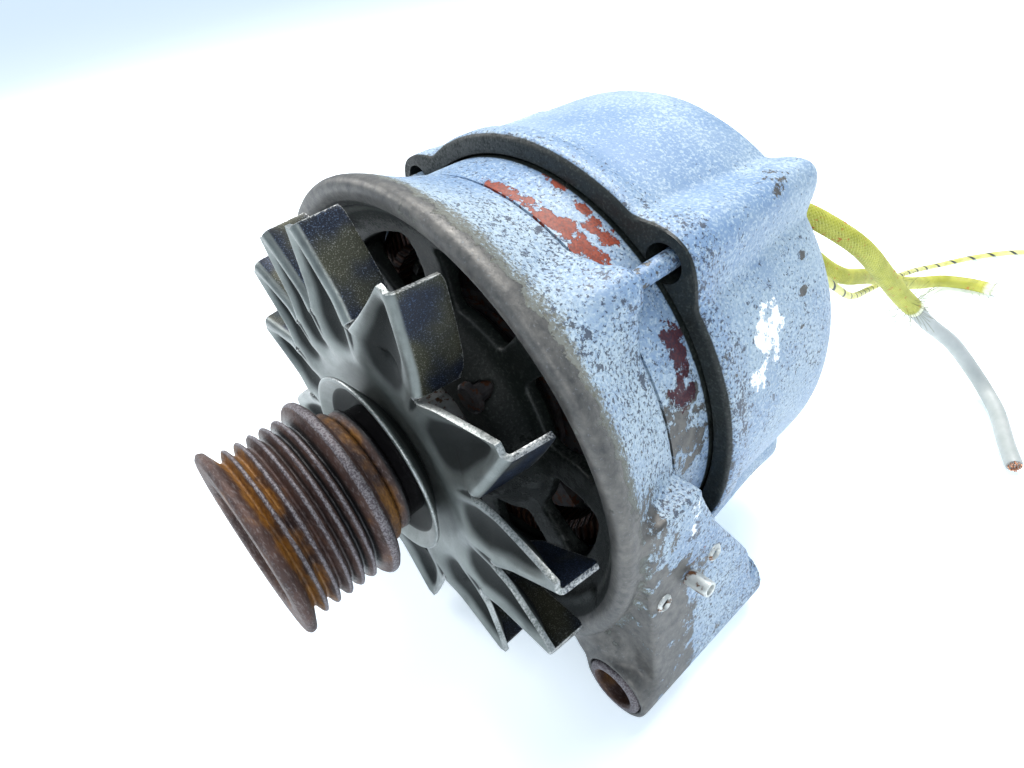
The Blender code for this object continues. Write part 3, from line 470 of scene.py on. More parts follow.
def painted_finish(name):
    """Pale blue paint, speckled and chipped down to grey metal, primer or old dirt, and near black where
    marked: painted shade.
    """
    f = Finish(name)
    chip_level = 2.05
    broad = f.noise(38.0, 3.0)
    fine = f.noise(0.75, 3.0, 0.6, 3.0)
    cloud = f.noise(13.0, 5.0, 0.6, 5.0)
    ragged = f.noise(4.2, 10.0, 0.74, 7.0)
    coat = f.mix(f.step(broad, 0.35, 0.65), (0.19, 0.29, 0.44), (0.33, 0.42, 0.50))
    coat = f.mix(f.times(f.step(fine, 0.42, 0.62), 0.30), coat, (0.10, 0.20, 0.42))
    chalk = f.add(f.noise(0.9, 4.0, 0.65, 9.0), f.times(f.add(broad, cloud), 0.22))
    coat = f.mix(f.times(f.step(chalk, 0.67, 0.84), 0.68), coat, (0.50, 0.60, 0.66))
    speck_zone = f.times(f.add(cloud, f.stored("speck")), 0.16)
    specks = f.step(f.add(f.noise(0.85, 5.0, 0.70, 11.0), speck_zone), 0.700, 0.725)
    coat = f.mix(f.times(specks, 0.92), coat, (0.030, 0.042, 0.075))
    wide_specks = f.step(f.add(f.noise(3.2, 7.0, 0.7, 19.0), f.times(speck_zone, 0.8)), 0.71, 0.72)
    coat = f.mix(f.times(wide_specks, 0.92), coat, (0.050, 0.062, 0.090))
    grains = f.add(f.times(ragged, 0.5), f.times(f.noise(0.8, 4.0, 0.7, 23.0), 0.8))
    dirt = f.step(f.add(grains, f.times(f.stored("dirt"), 0.62)), 0.88, 1.06)
    grime = f.cloudy(cloud, (0.085, 0.085, 0.060), (0.150, 0.145, 0.115))
    coat = f.mix(f.times(dirt, 0.9), coat, grime)
    chips = f.flakes(ragged, "bare", chip_level)
    metal = f.cloudy(f.noise(2.4, 5.0, 0.6, 13.0), (0.075, 0.075, 0.075), (0.170, 0.162, 0.150))
    metal = f.mix(f.times(f.step(fine, 0.58, 0.70), 0.3), metal, (0.30, 0.33, 0.36))
    primer = f.flakes(ragged, "primer", chip_level)
    dark_primer = f.flakes(ragged, "dark_primer", chip_level)
    white = f.flakes(ragged, "white", chip_level)
    surface = f.mix(chips, coat, metal)
    grainy = f.step(fine, 0.4, 0.6)
    surface = f.mix(primer, surface, f.mix(grainy, (0.27, 0.038, 0.010), (0.15, 0.022, 0.009)))
    surface = f.mix(dark_primer, surface, f.mix(grainy, (0.075, 0.020, 0.026), (0.040, 0.016, 0.028)))
    surface = f.mix(white, surface, (0.93, 0.95, 0.97))
    # Near black where marked: painted shade inside the castings and in their recesses.
    soot = f.step(f.add(f.stored("soot"), f.times(ragged, 0.3)), 0.3, 0.6)
    black = f.mix(f.step(fine, 0.52, 0.64), (0.006, 0.009, 0.008), (0.030, 0.036, 0.032))
    surface = f.mix(soot, surface, black)
    f.set("Base Color", surface)
    gone = f.math("MAXIMUM", chips, f.math("MAXIMUM", primer, dark_primer))
    f.set("Metallic", f.times(chips, 0.55))
    painted = f.blend(dirt, f.span(broad, 0.40, 0.56), 0.8)
    f.set("Roughness", f.blend(chips, painted, f.span(fine, 0.38, 0.62)))
    f.bump(gone, -0.09)
    f.bump(f.noise(0.55, 4.0, 0.6, 17.0), 0.07, 0.8)
    f.bump(cloud, 0.5, 0.35)
    return f.done()


def rust_finish(name):
    """Turned steel gone rusty: orange where the belt no longer wipes it, brown and dark elsewhere."""
    f = Finish(name)
    streak = f.noise(1.6, 6.0, 0.65, 2.0, (1.0, 3.4, 1.0))
    cloud = f.noise(7.0, 5.0, 0.6, 4.0)
    fine = f.noise(0.45, 4.0, 0.6, 6.0)
    brown = f.cloudy(cloud, (0.030, 0.017, 0.016), (0.105, 0.055, 0.042))
    brown = f.mix(f.times(f.step(streak, 0.50, 0.66), 0.6), brown, (0.20, 0.165, 0.16))
    orange = f.cloudy(streak, (0.085, 0.030, 0.010), (0.34, 0.155, 0.022))
    share = f.step(f.add(f.times(cloud, 1.5), f.times(f.stored("orange"), 0.55)), 0.95, 1.35)
    colour = f.mix(share, brown, orange)
    grey = f.mix(f.step(fine, 0.42, 0.60), (0.10, 0.085, 0.095), (0.30, 0.285, 0.30))
    bare = f.step(f.add(f.times(fine, 0.5), f.times(f.stored("polished"), 0.7)), 0.55, 0.85)
    colour = f.mix(f.times(bare, 0.85), colour, grey)
    oil = f.step(f.add(f.times(cloud, 0.5), f.stored("oily")), 0.6, 1.1)
    colour = f.mix(oil, colour, (0.010, 0.009, 0.010))
    f.set("Base Color", colour)
    f.set("Metallic", f.blend(bare, 0.30, 0.75))
    f.set("Roughness", f.blend(f.stored("oily"), f.span(fine, 0.50, 0.78), 0.22))
    f.bump(fine, 0.09)
    f.bump(streak, 0.18, 0.7)
    return f.done()


def fan_finish():
    """Pressed steel worn to a satin grey, near black in its valleys (painted shade with some grime) and
    speckled on its vanes.
    """
    f = Finish("fan_steel")
    fine = f.noise(0.5, 4.0, 0.6, 1.0)
    cloud = f.noise(9.0, 4.0, 0.55, 2.0)
    colour = f.cloudy(cloud, (0.13, 0.145, 0.14), (0.24, 0.265, 0.255))
    # Near black in the pressed valleys: painted shade, with some grime that also roughens them.
    valley = f.step(f.add(f.stored("valley"), f.times(cloud, 0.3)), 0.30, 0.72)
    colour = f.mix(f.times(valley, 0.95), colour, (0.008, 0.010, 0.010))
    grit = f.step(f.noise(0.32, 3.0, 0.6, 5.0), 0.55, 0.64)
    oil = f.step(f.noise(16.0, 2.0, 0.5, 8.0), 0.42, 0.60)
    vane = f.mix(oil, (0.008, 0.012, 0.024), (0.045, 0.045, 0.028))
    vane = f.mix(f.times(grit, 0.7), vane, f.mix(oil, (0.09, 0.15, 0.27), (0.27, 0.27, 0.22)))
    colour = f.mix(f.step(f.stored("vane"), 0.2, 0.8), colour, vane)
    worn = f.add(f.times(fine, 0.8), f.times(cloud, 0.5))
    edge = f.step(f.add(f.times(f.stored("edge"), 0.6), worn), 1.12, 1.35)
    colour = f.mix(f.times(edge, 0.9), colour, (0.50, 0.51, 0.50))
    f.set("Base Color", colour)
    f.set("Metallic", f.blend(edge, f.blend(f.stored("vane"), 0.72, 0.35), 0.95))
    f.set("Roughness", f.blend(valley, f.span(fine, 0.30, 0.46), 0.62))
    f.bump(grit, 0.05, 0.8)
    f.bump(fine, 0.03)
    return f.done()


def metal_finish(name, dark, light, rough, metallic=0.9, stain=None, grain=0.6):
    """Plain metal with fine scratches, blotches and, if given, a stain's colour."""
    f = Finish(name, metallic=metallic)
    fine = f.noise(grain, 4.0, 0.6, 1.0)
    cloud = f.noise(5.0, 4.0, 0.6, 3.0)
    colour = f.cloudy(cloud, dark, light)
    if stain:
        colour = f.mix(f.step(f.noise(2.6, 6.0, 0.65, 6.0), 0.52, 0.60), colour, stain)
    f.set("Base Color", colour)
    f.set("Roughness", f.span(fine, rough - 0.08, rough + 0.14))
    f.bump(fine, 0.03)
    return f.done()


def winding_finish():
    """Varnished copper wire: round strands side by side, with painted shade in the gaps between strands and
    the whole colour darkened far below copper's as painted shade deep inside the machine.
    """
    f = Finish("copper_wire", roughness=0.32, metallic=0.6)
    strands = {"Vector": f.place, "Scale": 1.0 / (1.4 * MM * math.tau), "Distortion": 2.0}
    wave = f.node("TexWave", "Fac", strands)
    wire = f.mix(f.noise(6.0), (0.035, 0.015, 0.010), (0.10, 0.040, 0.020))
    f.set("Base Color", f.mix(wave, (0.012, 0.006, 0.005), wire))
    f.bump(wave, 0.35)
    return f.done()


def plastic_finish(name, base, light, rough, grain=0.4, depth=0.04):
    f = Finish(name)
    fine = f.noise(grain, 3.0, 0.6, 2.0)
    f.set("Base Color", f.cloudy(f.noise(7.0, 4.0, 0.6), base, light))
    f.set("Roughness", f.span(fine, rough - 0.08, rough + 0.12))
    f.bump(fine, depth)
    return f.done()


def braid_finish():
    """Varnished glass braid: yellow-green yarns with orange specks where it has cracked."""
    f = Finish("green_braid", roughness=0.55)
    yarn = f.stored("yarn")
    cloud = f.noise(6.0, 3.0, 0.6)
    base = f.cloudy(cloud, (0.34, 0.35, 0.03), (0.56, 0.55, 0.08))
    # Darker between the yarns and paler on their tops: painted shade and painted highlight.
    base = f.mix(f.step(yarn, 0.0, 0.75), (0.11, 0.12, 0.02), base)
    base = f.mix(f.times(f.step(yarn, 0.8, 1.0), 0.35), base, (0.86, 0.90, 0.45))
    base = f.mix(f.step(f.noise(2.6, 5.0, 0.65, 8.0), 0.60, 0.64), base, (0.45, 0.13, 0.01))
    pale = f.step(f.add(f.stored("fray"), f.times(cloud, 0.4)), 0.6, 1.1)
    base = f.mix(pale, base, (0.80, 0.82, 0.62))
    f.set("Base Color", base)
    f.bump(f.noise(0.2, 2.0, 0.5, 3.0), 0.04)
    return f.done()


def lead_finish():
    """Thin pale yellow lead with a dark tracer thread wound round it."""
    f = Finish("yellow_lead", roughness=0.5)
    tracer = f.step(f.stored("tracer"), 0.90, 0.96)
    base = f.cloudy(f.noise(4.0), (0.62, 0.60, 0.16), (0.82, 0.80, 0.36))
    f.set("Base Color", f.mix(tracer, base, (0.03, 0.04, 0.05)))
    f.bump(f.noise(0.3, 3.0), 0.03)
    return f.done()


FINISHES = {
    "painted_casting": painted_finish("painted_casting"),
    "painted_lamination": painted_finish("painted_lamination"),
    "rusty_steel": rust_finish("rusty_steel"),
    "bush_steel": rust_finish("bush_steel"),
    "fan_steel": fan_finish(),
    "bright_steel": metal_finish("bright_steel", (0.20, 0.19, 0.19), (0.46, 0.45, 0.44), 0.34, 1.0,
                                 (0.10, 0.05, 0.03)),
    "zinc_steel": metal_finish("zinc_steel", (0.34, 0.35, 0.34), (0.60, 0.61, 0.60), 0.42, 0.85,
                               (0.17, 0.09, 0.045)),
    "pole_iron": metal_finish("pole_iron", (0.04, 0.04, 0.045), (0.11, 0.10, 0.10), 0.55, 0.8,
                              (0.10, 0.04, 0.02)),
    "pale_alloy": metal_finish("pale_alloy", (0.50, 0.52, 0.50), (0.80, 0.82, 0.80), 0.45, 0.6,
                               (0.16, 0.07, 0.03)),
    "copper": metal_finish("copper", (0.50, 0.22, 0.12), (0.78, 0.42, 0.27), 0.24, 1.0),
    "aluminium_plate": metal_finish("aluminium_plate", (0.42, 0.43, 0.44), (0.66, 0.67, 0.68), 0.40, 0.95),
    "copper_wire": winding_finish(),
    "black_plastic": plastic_finish("black_plastic", (0.012, 0.012, 0.013), (0.035, 0.035, 0.036), 0.50),
    "carbon": plastic_finish("carbon", (0.02, 0.02, 0.02), (0.07, 0.06, 0.055), 0.55),
    "rubber": plastic_finish("rubber", (0.012, 0.012, 0.012), (0.04, 0.04, 0.042), 0.72, 0.8, 0.06),
    "white_cable": plastic_finish("white_cable", (0.36, 0.39, 0.38), (0.46, 0.48, 0.47), 0.42, 1.2, 0.05),
    "green_braid": braid_finish(),
    "yellow_lead": lead_finish(),
}


def dress_cad_nodes():
    """Give every node that stays from the CAD model its slot's finish; the retainer screws and plate inside
    the bracket get the dark pole_iron finish instead, as painted shade.
    """
    slots = {part["node"]: part["material_slot"] for part in frame["record"]["subparts"]}
    for node, obj in frame["nodes"].items():
        obj.data.materials.clear()
        # Retainer screws and plate sit inside the bracket: dark finish as painted shade.
        dark_in_shade = node.startswith(("retainer_screw", "bearing_retainer"))
        obj.data.materials.append(FINISHES["pole_iron" if dark_in_shade else slots[node]])


# ------------------------------------------------------------------ pulley and nose of the shaft

def make_pulley():
    outline = [(RECESS_FLOOR, SHAFT_R + 0.3), (RECESS_FLOOR, RECESS_R), (0.6, RECESS_R + 1.0),
               (0.0, RECESS_R + 2.2), (0.0, FLANGE_R - 1.0), (0.9, FLANGE_R + 0.1), (2.3, FLANGE_R - 0.3)]
    for i in range(GROOVES):
        y = FIRST_GROOVE_Y + i * RIB_PITCH
        outline += [(y - 0.35, GROOVE_R), (y + 0.35, GROOVE_R)]
        if i < GROOVES - 1:
            outline += [(y + RIB_PITCH / 2 - 0.35, RIB_R), (y + RIB_PITCH / 2 + 0.35, RIB_R)]
    last = FIRST_GROOVE_Y + (GROOVES - 1) * RIB_PITCH
    outline += [(last + 1.9, FLANGE_R - 0.9), (last + 2.7, FLANGE_R), (last + 4.3, FLANGE_R - 0.1),
                (last + 5.4, FLANGE_R - 1.8), (last + 5.9, PULLEY_HUB_R + 1.2), (last + 6.6, PULLEY_HUB_R),
                (PULLEY_BACK - 0.8, PULLEY_HUB_R), (PULLEY_BACK, PULLEY_HUB_R - 0.8),
                (PULLEY_BACK, SHAFT_R + 0.3)]
    profile = rounded(outline, 0.55, 3)

    def worn(y, radius, angle):
        x, z = polar(radius, angle)
        rough = noise.noise((x * 0.35, y * 0.6, z * 0.35)) * 0.16 + noise.noise((x, y, z)) * 0.05
        chipped = 0.35 if (y < 1.2 and radius > FLANGE_R - 2) else 0.0
        return radius + rough + chipped * min(0.0, noise.noise((x * 0.5, 3.0, z * 0.5)))

    obj = millimetre_object("pulley_worn", lathe(profile, 200, worn))

    def orange(x, y, z):
        radius = math.hypot(x, z)
        grooves = smoothstep(y, 2.2, 4.0) * (1 - smoothstep(y, 7.0, 14.0))
        grooves *= 1 - 0.4 * smoothstep(radius, 23.5, 24.6)
        hub = smoothstep(y, 29.0, 30.0) * 0.75
        return max(grooves, hub, 0.18 * (y < 26))

    def polished(x, y, z):
        radius = math.hypot(x, z)
        crest = smoothstep(radius, 23.6, 24.3) * 0.85 * (y > 3) * (y < 24)
        rear = smoothstep(radius, 25.6, 26.7) * smoothstep(y, 22.5, 24.5)
        front = smoothstep(radius, 24.8, 26.6) * (1 - smoothstep(y, 0.3, 2.6)) * 0.55
        return max(crest, rear, front)

    def oily(x, y, z):
        in_groove = 1 - smoothstep(math.hypot(x, z), 22.0, 23.6)
        return (0.25 + 0.6 * smoothstep(y, 9.0, 20.0)) * in_groove * (3.5 < y < 25)

    mark(obj, orange=orange, polished=polished, oily=oily)
    finish_piece(obj, "rotor", "rusty_steel", ["pulley"], 50.0)

    nut_outline = divided(rounded(arc(13.6, 0, 300, 6), 1.0, 3), 2.0)
    nut = millimetre_object("shaft_nut", prism(nut_outline, 1.8, 9.2))
    cut(nut, rod((0, 0), SHAFT_R + 0.3, 0.0, 11.0, 64))
    dome = lathe([(1.4, 0.0), (1.4, 11.9), (3.4, 14.4), (20.0, 14.4), (20.0, 0.0)], 96)
    cut(nut, dome, "INTERSECT")
    bevel(nut, 0.25)
    mark(nut, orange=0.3, polished=0.3, oily=0.3)
    finish_piece(nut, "rotor", "bright_steel", ["pulley_nut"], finish="rusty_steel")


def make_spacer_and_cup():
    """Oily stepped spacer behind the pulley, and the dished washer that clamps the fan."""
    outline = [(PULLEY_BACK + 0.3, SHAFT_R + 0.3), (PULLEY_BACK + 0.3, 17.2), (33.6, 18.6),
               (36.2, 18.9), (37.0, 17.6), (39.2, 17.2), (42.2, 17.2), (42.2, SHAFT_R + 0.3)]

    def rough(y, radius, angle):
        x, z = polar(radius, angle)
        return radius + noise.noise((x * 0.5, y * 0.5, z * 0.5)) * 0.12

    spacer = millimetre_object("oily_spacer", lathe(rounded(outline, 0.6, 3), 128, rough))
    mark(spacer, orange=lambda x, y, z: 0.7 * (1 - smoothstep(y, 33.0, 36.0)), polished=0.3,
         oily=lambda x, y, z: 0.9 * smoothstep(y, 33.5, 36.0))
    finish_piece(spacer, "rotor", "bright_steel", ["pulley_spacer"], finish="rusty_steel")

    cup = [(42.5, SHAFT_R + 0.3), (42.5, 18.0), (41.6, 20.0), (39.4, 24.0), (37.9, 26.4), (37.5, 27.2),
           (37.7, 27.95), (38.5, 28.0), (40.0, 25.6), (42.2, 21.8), (43.6, 19.6), (44.1, 18.0),
           (44.1, SHAFT_R + 0.3)]
    obj = millimetre_object("fan_cup", lathe(rounded(cup, 0.6, 3), 160))
    # Darker towards the middle and over its rear part: painted shade with some grime.
    mark(obj, edge=lambda x, y, z: smoothstep(math.hypot(x, z), 27.2, 27.8),
         valley=lambda x, y, z: 0.5 * (1 - smoothstep(math.hypot(x, z), 20.0, 25.0)) + 0.35 * (y > 39.5))
    finish_piece(obj, "rotor", "fan_steel", ["fan_cup_washer"], 60.0)


# ------------------------------------------------------------------ fan

def blade_edges(index):
    """Angles of a blade: where its windows' inner ends lie on both sides, and its tip."""
    count = len(BLADE_ANGLES)
    start = BLADE_ANGLES[index]
    before = BLADE_ANGLES[index - 1]
    after = (BLADE_ANGLES[(index + 1) % count] - start) % 360
    low = start - (1 - WINDOW_SPLIT) * ((start - before) % 360)
    return low, start, start + WINDOW_SPLIT * after


def fan_height(radius):
    """Place along the shaft of the pressed sheet's middle, before its flutes."""
    cone = FAN_CENTRE_Y + (FAN_Y - FAN_CENTRE_Y) * smoothstep(radius, 22.0, 35.0)
    return cone - 0.9 * smoothstep(radius, 33.0, 39.0) * (1 - smoothstep(radius, 43.0, 52.0))


def blade_sheet(bm, index, layers):
    low, start, high = blade_edges(index)
    columns = 18
    inner_rows = 16
    outer_rows = 22
    span = high - low
    flute = 2.6 * smoothstep(span, 12.0, 24.0) + 0.7
    rows = []
    for i in range(inner_rows + 1):
        radius = FAN_BORE_R + (WINDOW_R - 0.8 - FAN_BORE_R) * i / inner_rows
        row = []
        for j in range(columns + 1):
            share = j / columns
            x, z = polar(radius, low + span * share)
            press = math.sin(math.pi * share) ** 1.6 * smoothstep(radius, 30.0, 42.0)
            crease = (1 - math.sin(math.pi * share)) ** 6 * smoothstep(radius, 36.0, 44.0) * 0.8
            vert = bm.verts.new((x, fan_height(radius) + flute * press + crease, z))
            # How deep the sheet is pressed, which sets the valleys' painted shade and grime.
            vert[layers["valley"]] = max(press, crease * 1.1)
            row.append(vert)
        rows.append(row)
    tip_low = Vector(polar(FAN_TIP_R, start))
    tip_high = Vector(polar(FAN_TIP_R + 0.4, start + 2.0))
    root_low = Vector(polar(WINDOW_R + 0.6, low + WINDOW_HALF))
    root_high = Vector(polar(WINDOW_R + 0.9, high - WINDOW_HALF))
    edge_rows = []
    for i in range(outer_rows + 1):
        t = i / outer_rows
        left = root_low.lerp(tip_low, t)
        right = root_high.lerp(tip_high, t)
        width = (right - left).length
        depth = flute * smoothstep(width, 2.0, 13.0)
        row = []
        for j in range(columns + 1):
            share = j / columns
            point = left.lerp(right, share)
            press = math.sin(math.pi * share) ** 1.5
            vert = bm.verts.new((point.x, fan_height(point.length) + depth * press, point.y))
            # Same press depth sets the painted shade and grime on the outer part of the blade.
            vert[layers["valley"]] = press * smoothstep(width, 2.0, 12.0)
            row.append(vert)
        rows.append(row)
        edge_rows.append((row[0], left, right))
    for a, b in zip(rows, rows[1:]):
        for j in range(columns):
            bm.faces.new((a[j], a[j + 1], b[j + 1], b[j]))
    blade_vane(bm, edge_rows, layers)


def blade_vane(bm, edge_rows, layers):
    """Vane bent rearwards along the blade's leading edge."""
    bend = 1.7
    loops = []
    total = len(edge_rows) - 1
    for i, (vert, left, right) in enumerate(edge_rows):
        t = i / total
        along = (edge_rows[-1][1] - edge_rows[0][1]).normalized()
        outward = Vector((along.y, -along.x))
        if outward.dot(left - right) < 0:
            outward = -outward
        depth = VANE_DEPTH - 0.7 * smoothstep(t, 0.93, 1.0) - 1.2 * (1 - smoothstep(t, 0.0, 0.12))
        loop = [vert]
        for k in range(1, 5):
            turn = math.radians(86.0 * k / 4)
            point = left + outward * bend * math.sin(turn)
            loop.append(bm.verts.new((point.x, vert.co.y + bend * (1 - math.cos(turn)), point.y)))
        foot = left + outward * bend
        for k in range(1, 9):
            drop = (depth - bend) * (k / 8) ** 0.9
            lean = 0.10 * drop + 0.5 * math.sin(math.pi * t) * (k / 8)
            point = foot + outward * lean
            loop.append(bm.verts.new((point.x, vert.co.y + bend + drop, point.y)))
        for k, new in enumerate(loop[1:], 1):
            new[layers["vane"]] = smoothstep(k, 2.0, 4.5)
        loops.append(loop)
    for a, b in zip(loops, loops[1:]):
        for k in range(len(a) - 1):
            bm.faces.new((a[k], b[k], b[k + 1], a[k + 1]))


def make_fan():
    bm = bmesh.new()
    layers = {name: bm.verts.layers.float.new(name) for name in ("edge", "valley", "vane")}
    for index in range(len(BLADE_ANGLES)):
        blade_sheet(bm, index, layers)
    bmesh.ops.remove_doubles(bm, verts=bm.verts[:], dist=0.02)
    bmesh.ops.recalc_face_normals(bm, faces=bm.faces[:])
    for edge in bm.edges:
        if edge.is_boundary:
            for vert in edge.verts:
                if math.hypot(vert.co.x, vert.co.z) > FAN_BORE_R + 2:
                    vert[layers["edge"]] = 1.0
    obj = millimetre_object("fan_pressed", bm)
    sheet = obj.modifiers.new("sheet", "SOLIDIFY")
    sheet.thickness = FAN_SHEET
    sheet.offset = 0.0
    sheet.use_even_offset = False
    apply_modifiers(obj)
    bevel(obj, 0.28, 2, 50.0)
    finish_piece(obj, "rotor", "fan_steel", ["fan"], 50.0)


# ------------------------------------------------------------------ front bracket

def bracket_section():
    """Section of the bell mouth, its wall and the bearing hub."""
    outside = [(57.6, 70.8), (57.9, 72.6), (59.4, RIM_R), (61.6, RIM_R - 0.2), (65.0, 72.8), (70.0, 70.4),
               (77.0, 67.6), (83.0, 66.0), (BRACKET_BACK, 65.6)]
    back = [(BRACKET_BACK, 62.0), (80.0, 61.0), (76.0, 57.0), (74.6, 50.0), (74.6, 34.5), (80.0, 30.5),
            (80.0, 23.8), (65.5, 23.8), (65.5, 12.6)]
    front = [(62.4, 12.6), (62.4, 27.0), (66.0, 30.0), (70.0, 34.0), (70.6, 38.0), (69.6, 50.0),
             (66.6, 60.0), (62.4, 65.6), (59.0, 68.0)]
    return rounded(outside + back + front, 1.6, 3)


def bolt_boss(angle):
    """Boss that swells out of the bell and ends square behind it."""
    loops = []
    for y, radius, size in ((70.0, 64.5, 5.0), (78.0, 67.6, 6.2), (84.0, 69.0, 6.2), (88.6, 69.5, 6.1)):
        loops.append([(x, y, z) for x, z in circle(size, 36, polar(radius, angle))])
    return loft(loops)


def boss_fillet(angle):
    """Broad swelling that carries a boss into the bell's wall."""
    loops = []
    for y, wall, lift in ((62.0, 73.4, 0.0), (66.0, 72.2, 1.1), (70.0, 70.2, 2.9),
                          (76.0, 67.8, 5.0), (82.0, 66.0, 7.2), (86.0, 65.4, 8.3)):
        outer = []
        for i in range(25):
            away = -18.0 + 36.0 * i / 24
            swell = math.cos(math.radians(away * 5.0)) ** 2
            outer.append(polar(wall - 1.4 + (lift + 1.2) * swell, angle + away))
        loop = outer + arc(63.0, angle + 18.0, angle - 18.0, 12)
        loops.append([(x, y, z) for x, z in loop])
    return loft(loops)


def lug_body():
    """Wedge between the bell and the pivot boss, with the rating pad's plane on its outside."""
    centre = polar(LUG_R, LUG_ANGLE)
    outline = arc(63.0, -70, 4, 12) + [polar(PAD_OFFSET, PAD_ANGLE)]
    outline += arc(LUG_BOSS_R, PAD_ANGLE, PAD_ANGLE - 86.0, 8, centre) + [polar(71.0, -68.0)]
    return prism(outline, 64.6, BRACKET_BACK)


def lug_web():
    nx, nz = polar(1.0, PAD_ANGLE)
    side = ((82.0, 3.0), (BRACKET_BACK, 1.0), (92.0, -13.0), (108.0, -39.0), (112.5, -62.0), (82.0, -62.0))
    inner = [(69.8, y, z) for y, z in side]
    outer = [((PAD_OFFSET - nz * z) / nx, y, z) for y, z in side]
    return loft([inner, outer])


def vent_window(angle, width, inner, outer, y0, y1):
    half = width / 2
    outline = arc(outer, angle - half, angle + half, 10)
    outline += arc(inner, angle + half * 0.86, angle - half * 0.86, 6)
    return prism(rounded(outline, 3.0, 3), y0, y1)


def pad_frame():
    """Frame on the pad: origin on its face at the stub's height, y out of the face."""
    nx, nz = polar(1.0, PAD_ANGLE)
    foot = ((PAD_OFFSET - nz * PAD_Z) / nx, 0.0, PAD_Z)
    return shifted(*foot) @ turned("Y", -PAD_ANGLE) @ turned("Z", -90.0)


def on_pad(y, bm):
    return moved(bm, pad_frame(), shifted(0, y, 0))


def angle_of(x, z):
    return math.degrees(math.atan2(z, x))


def spot(angle, y, centre_angle, centre_y, half_angle, half_y):
    """1 in the middle of an oval on the casing, 0 outside it."""
    away = (angle - centre_angle + 180) % 360 - 180
    return max(0.0, 1.0 - (away / half_angle) ** 2 - ((y - centre_y) / half_y) ** 2)


def make_front_bracket():
    lug = polar(LUG_R, LUG_ANGLE)
    ear = polar(EAR_R, EAR_ANGLE)
    solids = [lathe(bracket_section(), 240), lug_body(), lug_web(), rod(lug, LUG_BOSS_R, 58.6, 117.0, 64)]
    for angle in BOLT_ANGLES:
        solids += [bolt_boss(angle), boss_fillet(angle)]
    ear_root = [polar(63.0, EAR_ANGLE + 16), polar(63.0, EAR_ANGLE), polar(63.0, EAR_ANGLE - 16)]
    solids.append(prism(ear_root + arc(10.0, EAR_ANGLE - 78, EAR_ANGLE + 78, 24, ear), 70.0, 86.0))
    shoulder = loft([[(x, y, z) for x, z in circle(size, 36, polar(reach, LUG_ANGLE))]
                     for y, reach, size in ((59.4, 79.0, 6.0), (63.0, 80.0, 12.0), (69.0, 79.0, 14.0))])
    solids.append(shoulder)
    obj = millimetre_object("bracket_casting", merged(solids))
    remesh(obj, 0.8, 2)
    holes = [vent_window(22.5 + 45.0 * i, 33.0, 37.4, 56.2, 55.0, 79.6) for i in range(8)]
    holes += [rod(lug, 9.2, 56.0, 120.0, 96), rod(ear, 4.0, 66.0, 90.0, 48)]
    holes += [rod(polar(BOLT_CIRCLE_R, a), 2.9, 70.0, 92.0, 24) for a in BOLT_ANGLES]
    for angle in RETAINER_ANGLES:
        centre = polar(RETAINER_CIRCLE_R, angle)
        holes += [rod(centre, 2.9, 60.0, 84.0, 24), rod(centre, 5.4, 54.0, 62.5, 40)]
    seat = [(86.3, 0.0), (86.3, STATOR_R + 0.3), (120.0, STATOR_R + 0.3), (120.0, 0.0)]
    holes.append(lathe(seat, 240))
    for shape in holes:
        cut(obj, shape, solver="MANIFOLD")
    remesh(obj, 0.8, 5)
    for y in RIVET_HOLES_Y:
        cut(obj, on_pad(y, rod((0, 0), 1.5, -6.0, 4.0, 20)), solver="MANIFOLD")
    mark_bracket(obj)
    finish_piece(obj, "frame", "painted_casting", ["front_bracket"], 60.0)


def mark_bracket(obj):
    def on_lug(x, z):
        return smoothstep(math.hypot(x, z), 74.6, 77.0) * (angle_of(x, z) < 0)

    def bare(x, y, z):
        radius, angle = math.hypot(x, z), angle_of(x, z)
        rim = 1.0 - 0.8 * smoothstep(y, 60.5, 66.5) if radius > 66 and y < 66.5 else 0.0
        low = smoothstep(-angle, -34.0, -4.0) * (1 - smoothstep(y, 70.0, 84.0)) * 0.72 if angle < 60 else 0.0
        pad = 0.9 * spot(z, y, PAD_Z, 80.0, 11.0, 14.0) if x > 70 and angle < 0 else 0.0
        front = 0.95 * (1 - smoothstep(y, 74.0, 92.0)) * on_lug(x, z)
        chips = 0.45 * spot(angle, y, 20, 76, 20, 12) + 0.4 * spot(angle, y, -2, 82, 14, 9)
        web = 0.30 * on_lug(x, z)
        return min(1.0, max(rim, low, pad, front, chips, web))

    # Near black inside the bell mouth, its hub and the rim's inner wall: painted shade.
    def soot(x, y, z):
        radius = math.hypot(x, z)
        limit = 68.6 - 5.4 * smoothstep(y, 59.0, 66.0)
        return 1.0 - smoothstep(radius, limit - 1.8, limit) if y < 85.8 else 0.0

    def dirt(x, y, z):
        return (1 - smoothstep(y, 60.0, 73.0)) * 0.95 + 0.3 * spot(angle_of(x, z), y, 60, 76, 30, 12)

    def primer(x, y, z):
        return 0.62 * spot(z, y, PAD_Z + 3, 82.0, 8.0, 11.0) if x > 70 and z < 0 else 0.0

    mark(obj, bare=bare, soot=soot, dirt=dirt, speck=0.45, primer=primer,
         white=lambda x, y, z: 0.55 * spot(angle_of(x, z), y, -4, 83, 9, 5))


